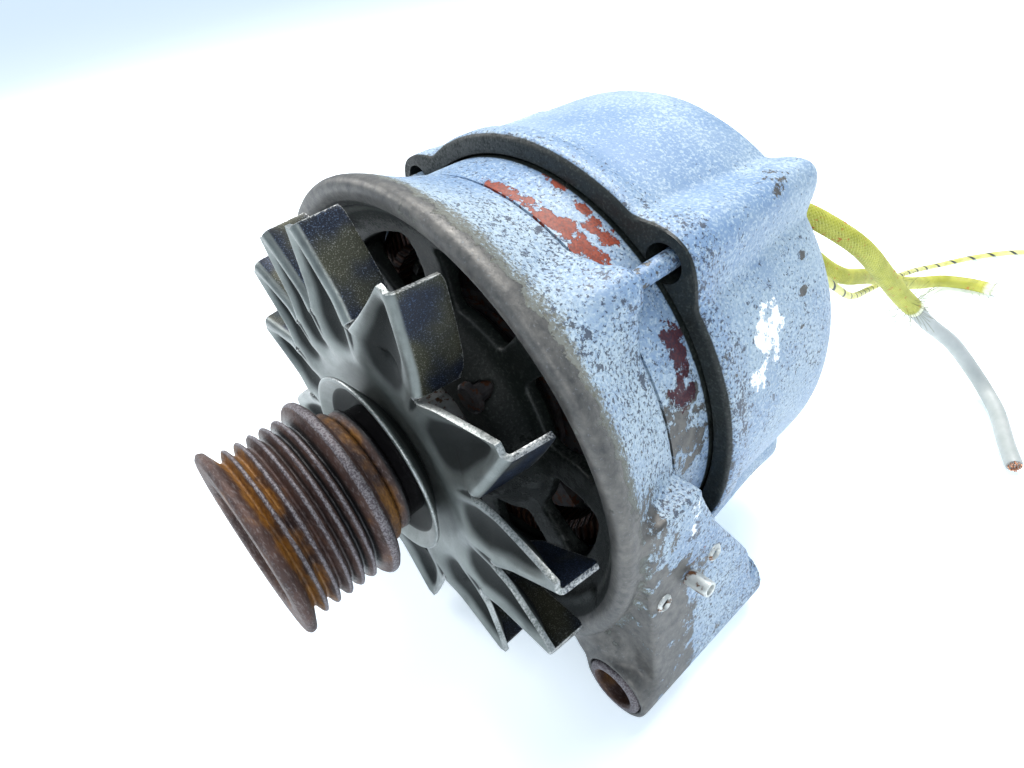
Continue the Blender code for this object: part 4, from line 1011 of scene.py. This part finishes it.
def make_pad_fittings():
    """Hollow rivet stub and the burrs round the two rivet holes."""
    tube_wall = [(-3.0, 0.0), (-3.0, 2.3), (5.4, 2.3), (6.4, 2.2), (6.4, 1.5), (2.6, 1.3), (2.6, 0.0)]

    def battered(y, radius, angle):
        x, z = polar(radius, angle)
        return radius + noise.noise((x, y * 0.6, z)) * 0.16 * (y > 0)

    stub = millimetre_object("rating_stub", on_pad(80.0, lathe(rounded(tube_wall, 0.3, 2), 48, battered)))
    finish_piece(stub, "frame", "zinc_steel", ["pad_stub"], finish="pale_alloy")
    for number, y in enumerate(RIVET_HOLES_Y, 1):
        ring = [(-0.5, 1.45), (0.2, 1.45), (0.9, 1.9), (0.35, 2.5), (-0.5, 2.6)]

        def torn(h, radius, angle):
            return radius + 0.5 * noise.noise((angle * 0.05, h, number * 7.0)) * (h > 0)

        burr = millimetre_object(f"rivet_burr_{number}", on_pad(y, lathe(ring, 28, torn)))
        finish_piece(burr, "frame", "zinc_steel", finish="pale_alloy")


def make_bush():
    lug = polar(LUG_R, LUG_ANGLE)
    wall = [(58.2, 6.4), (58.0, 7.0), (58.2, 8.2), (58.8, 8.9), (117.0, 8.9), (117.4, 8.3), (117.4, 6.6),
            (116.8, 6.0), (58.9, 6.0)]
    sleeve = moved(lathe(rounded(wall, 0.4, 2), 96), shifted(lug[0], 0, lug[1]))
    obj = millimetre_object("pivot_sleeve", sleeve)

    def out(x, z):
        return math.hypot(x - lug[0], z - lug[1])

    mark(obj, orange=lambda x, y, z: 0.45 if out(x, z) < 6.3 else 0.0,
         polished=lambda x, y, z: smoothstep(out(x, z), 6.3, 7.0),
         oily=lambda x, y, z: 0.5 if out(x, z) < 6.3 else 0.0)
    finish_piece(obj, "frame", "zinc_steel", ["pivot_bush"], finish="bush_steel")


# ------------------------------------------------------------------ stator

def make_stator():
    """Lamination stack: painted outside, slotted inside."""
    inner = []
    for i in range(SLOTS):
        for radius, away in ((46.0, -2.3), (57.0, -1.85), (57.0, 1.85), (46.0, 2.3)):
            inner.append(polar(radius, 360.0 * i / SLOTS + away))
    repeat = 3
    fine = []
    for i, point in enumerate(inner):
        following = inner[(i + 1) % len(inner)]
        for k in range(repeat):
            t = k / repeat
            fine.append((point[0] + (following[0] - point[0]) * t,
                         point[1] + (following[1] - point[1]) * t))
    count = len(fine)
    bm = bmesh.new()
    rows = [STATOR_FRONT + (STATOR_BACK - STATOR_FRONT) * i / 40 for i in range(41)]
    skins = []
    for i, y in enumerate(rows):
        ring = []
        for j in range(count):
            angle = 360.0 * (j - repeat) / count
            x, z = polar(STATOR_R, angle)
            dent = noise.noise((x * 0.12, y * 0.9, z * 0.12)) * 0.10
            x, z = polar(STATOR_R + dent - 0.06 * (i % 2), angle)
            ring.append(bm.verts.new((x, y, z)))
        skins.append(ring)
    inside = [[bm.verts.new((x, y, z)) for x, z in fine] for y in (rows[0], rows[-1])]
    bridge(bm, [inside[0]] + skins + [inside[1], inside[0]])
    obj = millimetre_object("stator_stack", bm)

    def primer(x, y, z):
        angle = angle_of(x, z)
        seam = max(spot(angle, y, t, 88.0 + 0.10 * (80 - t), 8.0, 3.2 + 0.08 * (83 - t))
                   for t in range(53, 84, 5))
        spots = max(spot(angle, y, 74, 100.5, 8, 3.0), spot(angle, y, 65, 98.8, 5, 3),
                    spot(angle, y, 58, 97.0, 8, 5.0))
        return 0.95 * max(seam, spots)

    def dark_primer(x, y, z):
        angle = angle_of(x, z)
        return 0.95 * max(spot(angle, y, 29, 96.5, 9.0, 6.0), spot(angle, y, 20, 93.5, 8.0, 7.0))

    # Near black in the slotted bore and on the band just in front of the housing's flange: painted shade.
    mark(obj, bare=lambda x, y, z: 0.62 * spot(angle_of(x, z), y, 12, 92, 22, 14) + 0.2,
         soot=lambda x, y, z: 1.0 if math.hypot(x, z) < 60 else 0.8 * smoothstep(y, 99.6, 101.8),
         dirt=0.25, speck=0.35, primer=primer, dark_primer=dark_primer)
    finish_piece(obj, "frame", "painted_lamination", ["stator_core"], 40.0)


# ------------------------------------------------------------------ rear housing

def ridge_rise(y, radius, angle):
    """How far a through bolt's ridge lifts the housing's skin."""
    rise = 0.0
    for bolt in BOLT_ANGLES:
        across = abs((angle - bolt + 180) % 360 - 180) * math.pi / 180 * 70.0
        if across > 16.0:
            continue
        width = 14.5 - 3.5 * smoothstep(y, 104.0, 150.0)
        crown = 77.3 - 1.9 * smoothstep(y, 110.0, 152.0)
        fall = min(max(0.0, (y - 158.4) / 4.0), 1.0)
        crown = crown - 4.0 * (1 - math.sqrt(1 - fall ** 2))
        height = max(0.0, crown - radius) * (1 - smoothstep(y, 162.2, 162.5))
        share = max(0.0, 1 - (across / width) ** 2)
        rise = max(rise, height * share ** 1.7)
    return rise


def housing_outside():
    """Outline of the housing's outside, from its flange's front edge to the middle of its back."""
    return [(HOUSING_FRONT, 69.2), (HOUSING_FRONT + 0.2, 70.2), (HOUSING_FRONT + 1.2, 71.1), (103.5, 71.3),
            (108.2, 71.2), (109.2, 70.6), (109.8, 69.5), (111.0, 69.15), (116.0, 69.0)] + [
            (116.0 + 4.0 * i, 69.0 - 0.11 * i) for i in range(1, 9)] + [
            (151.0, 68.0), (153.5, 67.8), (156.0, 67.3), (157.6, 66.8), (158.8, 66.3), (159.8, 65.7),
            (160.6, 65.1), (161.4, 64.4), (161.9, 63.8), (162.2, 63.4), (162.5, 63.0), (163.2, 61.9),
            (164.0, 60.1), (164.6, 58.0), (HOUSING_BACK, 55.5),
            (HOUSING_BACK, 50.0), (HOUSING_BACK, 44.0), (HOUSING_BACK, 38.0), (HOUSING_BACK, 30.0),
            (HOUSING_BACK, 24.5), (165.8, 22.2), (167.0, 21.0), (167.6, 19.0), (167.6, 10.0), (167.6, 0.0)]


def make_rear_housing():
    inside = [(158.2, 0.0), (158.2, 17.8), (146.3, 17.8), (146.3, 21.6), (161.0, 23.0), (161.0, 55.0),
              (157.6, 61.0), (154.0, 63.8), (116.4, 64.4), (115.4, 61.5), (112.3, 61.5), (112.3, 65.5),
              (HOUSING_FRONT + 0.3, 65.5), (HOUSING_FRONT, 65.8)]

    def skin(y, radius, angle):
        outer = radius > 66.5 or (y > 158.0 and radius > 55.2)
        lift = ridge_rise(y, radius, angle) if outer else 0.0
        x, z = polar(radius, angle)
        wave = noise.noise((x * 0.05, y * 0.05, z * 0.05)) * 0.25 if outer else 0.0
        return radius + lift + wave

    obj = millimetre_object("housing_casting", lathe(housing_outside() + inside, 480, skin))
    tools = []
    for radius, front, back, steps in ((5.2, HOUSING_FRONT - 2, 112.3, 40), (2.9, 111.0, 160.0, 24),
                                       (4.5, 158.6, 170.0, 32)):
        tools += [rod(polar(BOLT_CIRCLE_R, a), radius, front, back, steps) for a in BOLT_ANGLES]
    tools += [vent_window(a, 16.0, 29.0, 43.0, 156.0, 170.0) for a in range(156, 349, 24)]
    tools.append(block((-9.0, 9.0), (156.0, 170.0), (28.5, 46.5)))
    tools.append(prism(arc(53.5, 15, 49, 12) + arc(44.5, 49, 15, 12), 156.0, 170.0))
    tools.append(rod(polar(TERMINAL_R, TERMINAL_ANGLE), 5.3, 156.0, 170.0, 40))
    for shape in tools:
        cut(obj, shape, solver="MANIFOLD")
    bevel(obj, 0.35, 2, 50.0)
    mark_housing(obj)
    finish_piece(obj, "frame", "painted_casting", ["rear_housing"], 40.0)


def mark_housing(obj):
    def bare(x, y, z):
        radius, angle = math.hypot(x, z), angle_of(x, z)
        ridge = 0.0
        for bolt in BOLT_ANGLES:
            ridge = max(ridge, 0.62 * spot(angle, y, bolt + 1.5, 143.0, 5.0, 16.0) * (radius > 71.5))
        band = 0.45 * spot(angle, y, 18, 105, 14, 5) + 0.3 * spot(angle, y, 85, 103, 30, 4)
        scratch = 0.0
        if 9.0 < angle < 34.0:
            line = 137.0 + (angle - 10.0) * 0.56
            scratch = 1 - smoothstep(abs(y - line), 0.3, 1.2)
        corner = 0.35 * spot(angle, y, 10, 163, 60, 6)
        return max(ridge, band, scratch, corner, 0.10)

    # Near black on the flange's front face, partly its dark bare casting and partly painted shade, and
    # painted shade inside the housing.
    def soot(x, y, z):
        inside = 1.0 if math.hypot(x, z) < 66.0 and y < 158 else 0.0
        return max(1 - smoothstep(y, HOUSING_FRONT + 0.15, HOUSING_FRONT + 0.9), inside)

    def speck(x, y, z):
        angle = angle_of(x, z)
        near = 0.30 * spot(angle, y, 10, 130, 45, 60) + 0.4 * (y < 112)
        return near - 0.2 * spot(angle, y, 80, 130, 40, 40)

    def white(x, y, z):
        angle = angle_of(x, z)
        return 0.9 * max(spot(angle, y, 20.0, 126.0, 10.0, 9.5), spot(angle, y, 12.0, 118.0, 6.0, 6.0))

    mark(obj, bare=bare, soot=soot, speck=speck, white=white, dirt=lambda x, y, z:
         0.45 * (1 - smoothstep(y, 102.0, 106.0)) + 0.5 * smoothstep(y, 163.6, 165.0))


def make_through_bolts():
    for number, angle in enumerate(BOLT_ANGLES, 1):
        x, z = polar(BOLT_CIRCLE_R, angle)
        shank = [(71.0, 0.0), (71.0, 2.2), (71.6, BOLT_R), (158.9, BOLT_R), (158.9, 4.2), (161.8, 4.2),
                 (162.1, 3.9), (162.1, 0.0)]
        obj = millimetre_object(f"long_bolt_{number}", lathe(shank, 40))
        cut(obj, prism(arc(2.3, 0, 300, 6), 160.0, 164.0))
        bevel(obj, 0.2, 2, 40.0)
        obj.data.transform(shifted(x, 0, z))
        mark(obj, speck=0.3, bare=lambda x, y, z: 0.45 if y < 120 else 0.7)
        finish_piece(obj, "frame", "zinc_steel", [f"through_bolt_{number}"], finish="painted_casting")


# ------------------------------------------------------------------ back wall fittings

def make_brush_holder():
    obj = millimetre_object("regulator_case", block((-15, 15), (HOUSING_BACK + 0.3, 171.0), (24.5, 51.0)))
    cut(obj, block((-8.4, 8.4), (124.0, 168.0), (33.0, 45.4)), "UNION")
    cut(obj, block((-8.4, 8.4), (124.0, 142.0), (16.5, 40.0)), "UNION")
    for y in (128.5, 136.5):
        cut(obj, block((-2.8, 2.8), (y - 2.5, y + 2.5), (10.0, 42.0)))
    for x in REGULATOR_SCREWS_X:
        cut(obj, rod((x, REGULATOR_SCREWS_Z), 2.3, 160.0, 175.0, 32))
    cut(obj, block((-8.5, 8.5), (170.2, 172.0), (27.0, 48.5)))
    for z in range(29, 48, 4):
        cut(obj, block((-7.5, 7.5), (169.9, 171.0), (z, z + 1.6)), "UNION")
    bevel(obj, 0.45, 3, 40.0)
    finish_piece(obj, "frame", "black_plastic", ["brush_holder"])
    for number, x in enumerate(REGULATOR_SCREWS_X, 1):
        head = [(HOUSING_BACK + 0.4, 0.0), (HOUSING_BACK + 0.4, 2.0), (171.3, 2.0), (171.3, 3.8),
                (172.6, 3.7), (173.8, 2.4), (174.2, 0.0)]
        screw = millimetre_object(f"regulator_bolt_{number}", lathe(rounded(head, 0.25, 2, False), 40))
        cut(screw, block((-4.5, 4.5), (173.0, 176.0), (-0.5, 0.5)))
        screw.data.transform(shifted(x, 0, REGULATOR_SCREWS_Z))
        finish_piece(screw, "frame", "zinc_steel", [f"regulator_screw_{number}"])


def make_brush_springs():
    """Coils that press the brushes down."""
    for number in (1, 2):
        low, high = [(Vector(corner) - AXIS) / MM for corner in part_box(f"brush_spring_{number}")]
        middle = (low + high) / 2
        reach = (high.x - low.x) / 2 - SPRING_WIRE_R
        path = []
        for i in range(SPRING_TURNS * 20 + 1):
            turn = math.tau * i / 20
            rise = (high.z - low.z - 2 * SPRING_WIRE_R) * i / (SPRING_TURNS * 20)
            path.append(Vector((middle.x + reach * math.cos(turn), middle.y + reach * math.sin(turn),
                                low.z + SPRING_WIRE_R + rise)))
        coil = lead_tube(f"brush_coil_{number}", path, lambda along, turn: SPRING_WIRE_R, 8, {})
        finish_piece(coil, "frame", "bright_steel", [f"brush_spring_{number}"])
        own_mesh(coil)


def make_terminal():
    x, z = polar(TERMINAL_R, TERMINAL_ANGLE)
    rings = [(158.8, 3.35), (158.8, 7.5), (160.7, 7.5), (160.7, 5.0), (165.3, 5.0), (165.3, 7.4),
             (167.0, 7.2), (167.4, 6.4), (167.4, 3.35)]
    spool = moved(lathe(rounded(rings, 0.3, 2), 64), shifted(x, 0, z))
    bushing = millimetre_object("terminal_insulator", spool)
    finish_piece(bushing, "frame", "black_plastic", ["terminal_bushing"])
    thread = [(156.0, 0.0), (156.0, 5.0), (158.5, 5.0), (158.5, 2.9)]
    for i in range(24):
        thread += [(160.2 + i, 2.55), (160.7 + i, 3.0)]
    thread += [(184.4, 2.5), (184.9, 1.8), (184.9, 0.0)]
    stud = millimetre_object("terminal_thread", moved(lathe(thread, 40), shifted(x, 0, z)))
    finish_piece(stud, "frame", "bright_steel", ["terminal_stud"], 60.0, finish="zinc_steel")
    nut = millimetre_object("terminal_hex_nut", prism(rounded(arc(5.8, 0, 300, 6), 0.35, 2), 167.7, 172.7))
    cut(nut, rod((0, 0), 3.2, 160.0, 180.0, 40))
    crown = lathe([(166.0, 0.0), (166.0, 6.0), (171.9, 6.0), (172.9, 4.7), (173.0, 0.0)], 64)
    cut(nut, crown, "INTERSECT")
    bevel(nut, 0.15)
    nut.data.transform(shifted(x, 0, z))
    finish_piece(nut, "frame", "zinc_steel", ["terminal_nut"])


def make_capacitor():
    can = [(-17.0, 0.0), (-17.0, 7.0), (-16.4, 7.8), (-15.6, 8.0), (13.6, 8.0), (14.0, 7.6), (14.6, 7.6),
           (15.0, 8.0), (15.8, 8.0), (16.5, 7.4), (16.5, 3.2), (18.4, 2.8), (18.9, 2.2), (18.9, 0.0)]
    lay = shifted(0.0, HOUSING_BACK + 8.6, -51.5) @ turned("Z", -90.0)
    obj = millimetre_object("capacitor_can", moved(lathe(can, 72), lay))
    finish_piece(obj, "frame", "aluminium_plate", ["capacitor"])
    outer = [polar(8.55, a) for a in range(-30, 211, 10)]
    inner = [polar(8.05, a) for a in range(210, -31, -10)]
    band = millimetre_object("capacitor_strap", moved(prism(outer + inner, -3.5, 3.5), lay))
    finish_piece(band, "frame", "zinc_steel")


def make_gland():
    """Rubber block with a soft collar round each lead."""
    outline = rounded(arc(53.2, 15.4, 48.6, 14) + arc(44.8, 48.6, 15.4, 14), 1.0, 3)
    lip = rounded(arc(55.4, 13.2, 50.8, 14) + arc(42.6, 50.8, 13.2, 14), 1.6, 3)
    obj = millimetre_object("lead_grommet", prism(outline, 158.0, 169.0))
    cut(obj, prism(lip, HOUSING_BACK + 0.2, HOUSING_BACK + 2.4), "UNION")
    for lead, radius in (("charge_sleeve", 4.4), ("signal_sleeve", 4.0), ("sense_lead", 2.3)):
        x, _, z = ROUTES[lead][0]
        collar = lathe(rounded([(164.0, 0.0), (164.0, radius), (170.4, radius), (171.2, radius - 0.7),
                                (171.2, 0.0)], 0.4, 2, False), 40)
        cut(obj, moved(collar, shifted(x, 0, z)), "UNION")
    bevel(obj, 0.3, 2, 40.0)
    finish_piece(obj, "frame", "rubber", ["cable_gland"])


# ------------------------------------------------------------------ leads

def smooth_route(points, spacing):
    """Points at even spacing on a smooth curve through the route's own points."""
    dense = []
    last = len(points) - 1
    for i in range(last):
        p0 = Vector(points[max(i - 1, 0)])
        p1 = Vector(points[i])
        p2 = Vector(points[i + 1])
        p3 = Vector(points[min(i + 2, last)])
        for step in range(24):
            t = step / 24
            dense.append(0.5 * (2 * p1 + (p2 - p0) * t + (2 * p0 - 5 * p1 + 4 * p2 - p3) * t * t
                                + (3 * p1 - p0 - 3 * p2 + p3) * t ** 3))
    dense.append(Vector(points[-1]))
    length = sum((b - a).length for a, b in zip(dense, dense[1:]))
    count = max(2, round(length / spacing))
    result = [dense[0]]
    travelled = 0.0
    for a, b in zip(dense, dense[1:]):
        step = (b - a).length
        while travelled + step >= length * len(result) / count and len(result) < count:
            t = (length * len(result) / count - travelled) / step
            result.append(a.lerp(b, t))
        travelled += step
    result.append(dense[-1])
    return result


def tube_frames(path):
    """Direction and two cross directions at each point, turning as little as possible."""
    frames = []
    side = None
    for i, point in enumerate(path):
        ahead = (path[min(i + 1, len(path) - 1)] - path[max(i - 1, 0)]).normalized()
        if side is None:
            side = ahead.orthogonal().normalized()
        side = (side - ahead * side.dot(ahead)).normalized()
        frames.append((point, side, ahead.cross(side)))
    return frames


def lead_tube(name, path, radius_at, around, stores):
    """Closed tube along a path. radius_at(along, turn) and each store give a value per vertex."""
    bm = bmesh.new()
    layers = {key: bm.verts.layers.float.new(key) for key in stores}
    loops = []
    travelled = 0.0
    for i, (point, side, up) in enumerate(tube_frames(path)):
        if i:
            travelled += (path[i] - path[i - 1]).length
        loop = []
        for j in range(around):
            turn = math.tau * j / around
            size = radius_at(travelled, turn)
            vert = bm.verts.new(point + side * math.cos(turn) * size + up * math.sin(turn) * size)
            for key, value in stores.items():
                vert[layers[key]] = value(travelled, turn)
            loop.append(vert)
        loops.append(loop)
    bridge(bm, loops)
    bm.faces.new(loops[0])
    bm.faces.new(loops[-1])
    return millimetre_object(name, bm)


def braid_pattern(radius, along, turn):
    """Height of crossing yarns, 0 between them and 1 on top."""
    yarns = 16
    pitch = 2 * math.pi * radius / yarns
    a = along / pitch + turn * yarns / math.tau
    b = along / pitch - turn * yarns / math.tau
    over = (math.floor(a) + math.floor(b)) % 2
    first = abs(math.sin(math.pi * a))
    second = abs(math.sin(math.pi * b))
    return max(first * (1.0 if over else 0.7), second * (0.7 if over else 1.0))


def route_length(path):
    return sum((b - a).length for a, b in zip(path, path[1:]))


def hairs(name, spots, radius, slot):
    """Loose fibres, each a thin bent thread from a point outwards."""
    bm = bmesh.new()
    floor = 0.4 - AXIS.z / MM
    for k, (start, direction, length) in enumerate(spots):
        bend = noise.noise_vector((k * 3.1, 2.0, 5.0)) * 0.9
        path = []
        for i in range(6):
            t = i / 5
            point = start + direction * length * t + bend * length * 0.35 * t * t
            point.z = max(point.z, floor)
            path.append(point)
        rings = []
        for point, side, up in tube_frames(path):
            turns = [math.tau * j / 5 for j in range(5)]
            rings.append([bm.verts.new(point + (side * math.cos(t) + up * math.sin(t)) * radius)
                          for t in turns])
        bm.faces.new(rings[0])
        bm.faces.new(rings[-1])
        bridge(bm, rings)
    return finish_piece(millimetre_object(name, bm), "frame", slot)


def fray(path, radius, where, count, reach, seed):
    """Start points and directions of fibres standing off a sleeve near some places on it."""
    spots = []
    frames = tube_frames(path)
    for k in range(count):
        spread = noise.noise((seed, k * 1.7, 0.3))
        middle = where[k % len(where)]
        index = int(min(max((middle + spread * 0.12) * (len(path) - 1), 1), len(path) - 1))
        point, side, up = frames[index]
        turn = math.tau * (k * 0.618 % 1.0)
        outward = side * math.cos(turn) + up * math.sin(turn)
        ahead = (path[index] - path[index - 1]).normalized()
        direction = (outward + ahead * (0.6 + 0.8 * noise.noise((k * 0.9, seed, 4.0)))).normalized()
        length = reach * (0.45 + 0.55 * abs(noise.noise((k * 2.3, 1.0, seed))) * 2)
        spots.append((point + outward * radius * 0.95, direction, length))
    return spots


def make_sleeve(node, diameter, frayed):
    """Braided sleeve with loose fibres near the given shares of its length."""
    name = f"{node}_braid"
    route = ROUTES[node]
    path = smooth_route(route, 0.42)
    radius = diameter / 2
    total = route_length(path)

    def size(along, turn):
        loose = 0.22 * smoothstep(along, total - 9.0, total) * noise.noise((along * 0.6, turn * 2.0, radius))
        return radius - 0.30 + 0.30 * braid_pattern(radius, along, turn) + loose

    stores = {"yarn": lambda along, turn: braid_pattern(radius, along, turn),
              "fray": lambda along, turn: smoothstep(along, total - 7.0, total)}
    obj = lead_tube(name, path, size, 72, stores)
    finish_piece(obj, "frame", "green_braid", [node], 180.0)
    fibres = hairs(f"{name}_fibres", fray(path, radius, frayed, 70, 9.0, radius), 0.06, "green_braid")


def make_charge_cable():
    path = smooth_route(ROUTES["charge_cable"], 1.0)
    radius = CABLE_D / 2
    total = route_length(path)

    def size(along, turn):
        wrinkle = 0.05 * noise.noise((along * 0.25, math.cos(turn) * 1.2, math.sin(turn) * 1.2))
        return radius - 0.03 + wrinkle - 0.25 * smoothstep(along, total - 0.8, total)

    obj = lead_tube("charge_cable_white", path, size, 48, {})
    finish_piece(obj, "frame", "white_cable", ["charge_cable"], 60.0)
    ahead = (path[-1] - path[-3]).normalized()
    side = ahead.orthogonal().normalized()
    up = ahead.cross(side)
    strands = []
    for k in range(30):
        reach = radius * 0.72 * math.sqrt((k + 0.5) / 30)
        turn = k * 2.4
        base = path[-1] + side * reach * math.cos(turn) + up * reach * math.sin(turn) - ahead * 1.5
        aim = (ahead + side * 0.10 * math.cos(turn) + up * 0.10 * math.sin(turn)).normalized()
        strands.append((base, aim, 2.4 + 0.9 * noise.noise((k * 1.9, 0.5, 2.0))))
    copper = hairs("cut_strands", strands, 0.22, "copper")


def make_sense_lead():
    path = smooth_route(ROUTES["sense_lead"], 1.0)
    radius = LEAD_D / 2
    stores = {"tracer": lambda along, turn: 0.5 + 0.5 * math.cos(turn - along * math.tau / 11.0)}
    obj = lead_tube("sense_lead_yellow", path, lambda along, turn: radius, 28, stores)
    finish_piece(obj, "frame", "yellow_lead", ["sense_lead"], 60.0)


# ------------------------------------------------------------------ camera, floor and light

def make_stage():
    camera_data = bpy.data.cameras.new("camera")
    camera_data.lens = LENS
    camera_data.sensor_width = 36.0
    camera_data.clip_start = 0.005
    camera = linked("camera", camera_data)
    right, up, forward = Vector(CAMERA_RIGHT), Vector(CAMERA_UP), Vector(CAMERA_FORWARD)
    turn = Matrix((right, up, -forward)).transposed().to_4x4()
    camera.matrix_world = Matrix.Translation(place(CAMERA_AT)) @ turn
    bpy.context.scene.camera = camera

    bm = bmesh.new()
    bmesh.ops.create_grid(bm, x_segments=1, y_segments=1, size=12.0)
    mesh = bpy.data.meshes.new("floor")
    bm.to_mesh(mesh)
    bm.free()
    floor = linked("floor", mesh)
    floor.location = (0.0, 0.0, -0.0005)
    paper = Finish("paper", roughness=0.9)
    paper.set("Base Color", (0.93, 0.945, 0.96))
    paper.set("Emission Color", (0.74, 0.88, 1.0))
    paper.set("Emission Strength", 0.52)
    mesh.materials.append(paper.done())

    add_light("top_softbox", (-0.15, 0.35, 1.0), 0.8, 15.0, (1.0, 0.985, 0.96))
    add_light("front_softbox", (0.75, -0.60, 0.75), 0.5, 4.0, (1.0, 1.0, 1.0))
    add_light("left_softbox", (-0.90, -0.35, 0.70), 0.6, 6.5, (1.0, 0.99, 0.97))
    world = bpy.data.worlds.new("sky")
    world.use_nodes = True
    world.node_tree.nodes["Background"].inputs["Color"].default_value = (0.66, 0.83, 1.0, 1.0)
    world.node_tree.nodes["Background"].inputs["Strength"].default_value = 0.50
    bpy.context.scene.world = world
    bpy.context.scene.view_settings.view_transform = "Standard"


def add_light(name, where, size, power, colour):
    data = bpy.data.lights.new(name, "AREA")
    data.shape = "DISK"
    data.size = size
    data.energy = power
    data.color = colour
    obj = linked(name, data)
    obj.location = where
    obj.rotation_euler = (Vector((0.0, 0.0, 0.06)) - Vector(where)).to_track_quat("-Z", "Y").to_euler()


# ------------------------------------------------------------------ everything

make_stage()
dress_cad_nodes()
make_sleeve("charge_sleeve", SLEEVE_D, (0.98, 0.99, 0.9))
make_charge_cable()
make_sleeve("signal_sleeve", SIGNAL_SLEEVE_D, (0.99, 0.55, 0.97))
make_sense_lead()
make_pulley()
make_spacer_and_cup()
make_fan()
make_front_bracket()
make_pad_fittings()
make_bush()
make_stator()
make_rear_housing()
make_through_bolts()
make_brush_holder()
make_brush_springs()
make_terminal()
make_capacitor()
make_gland()
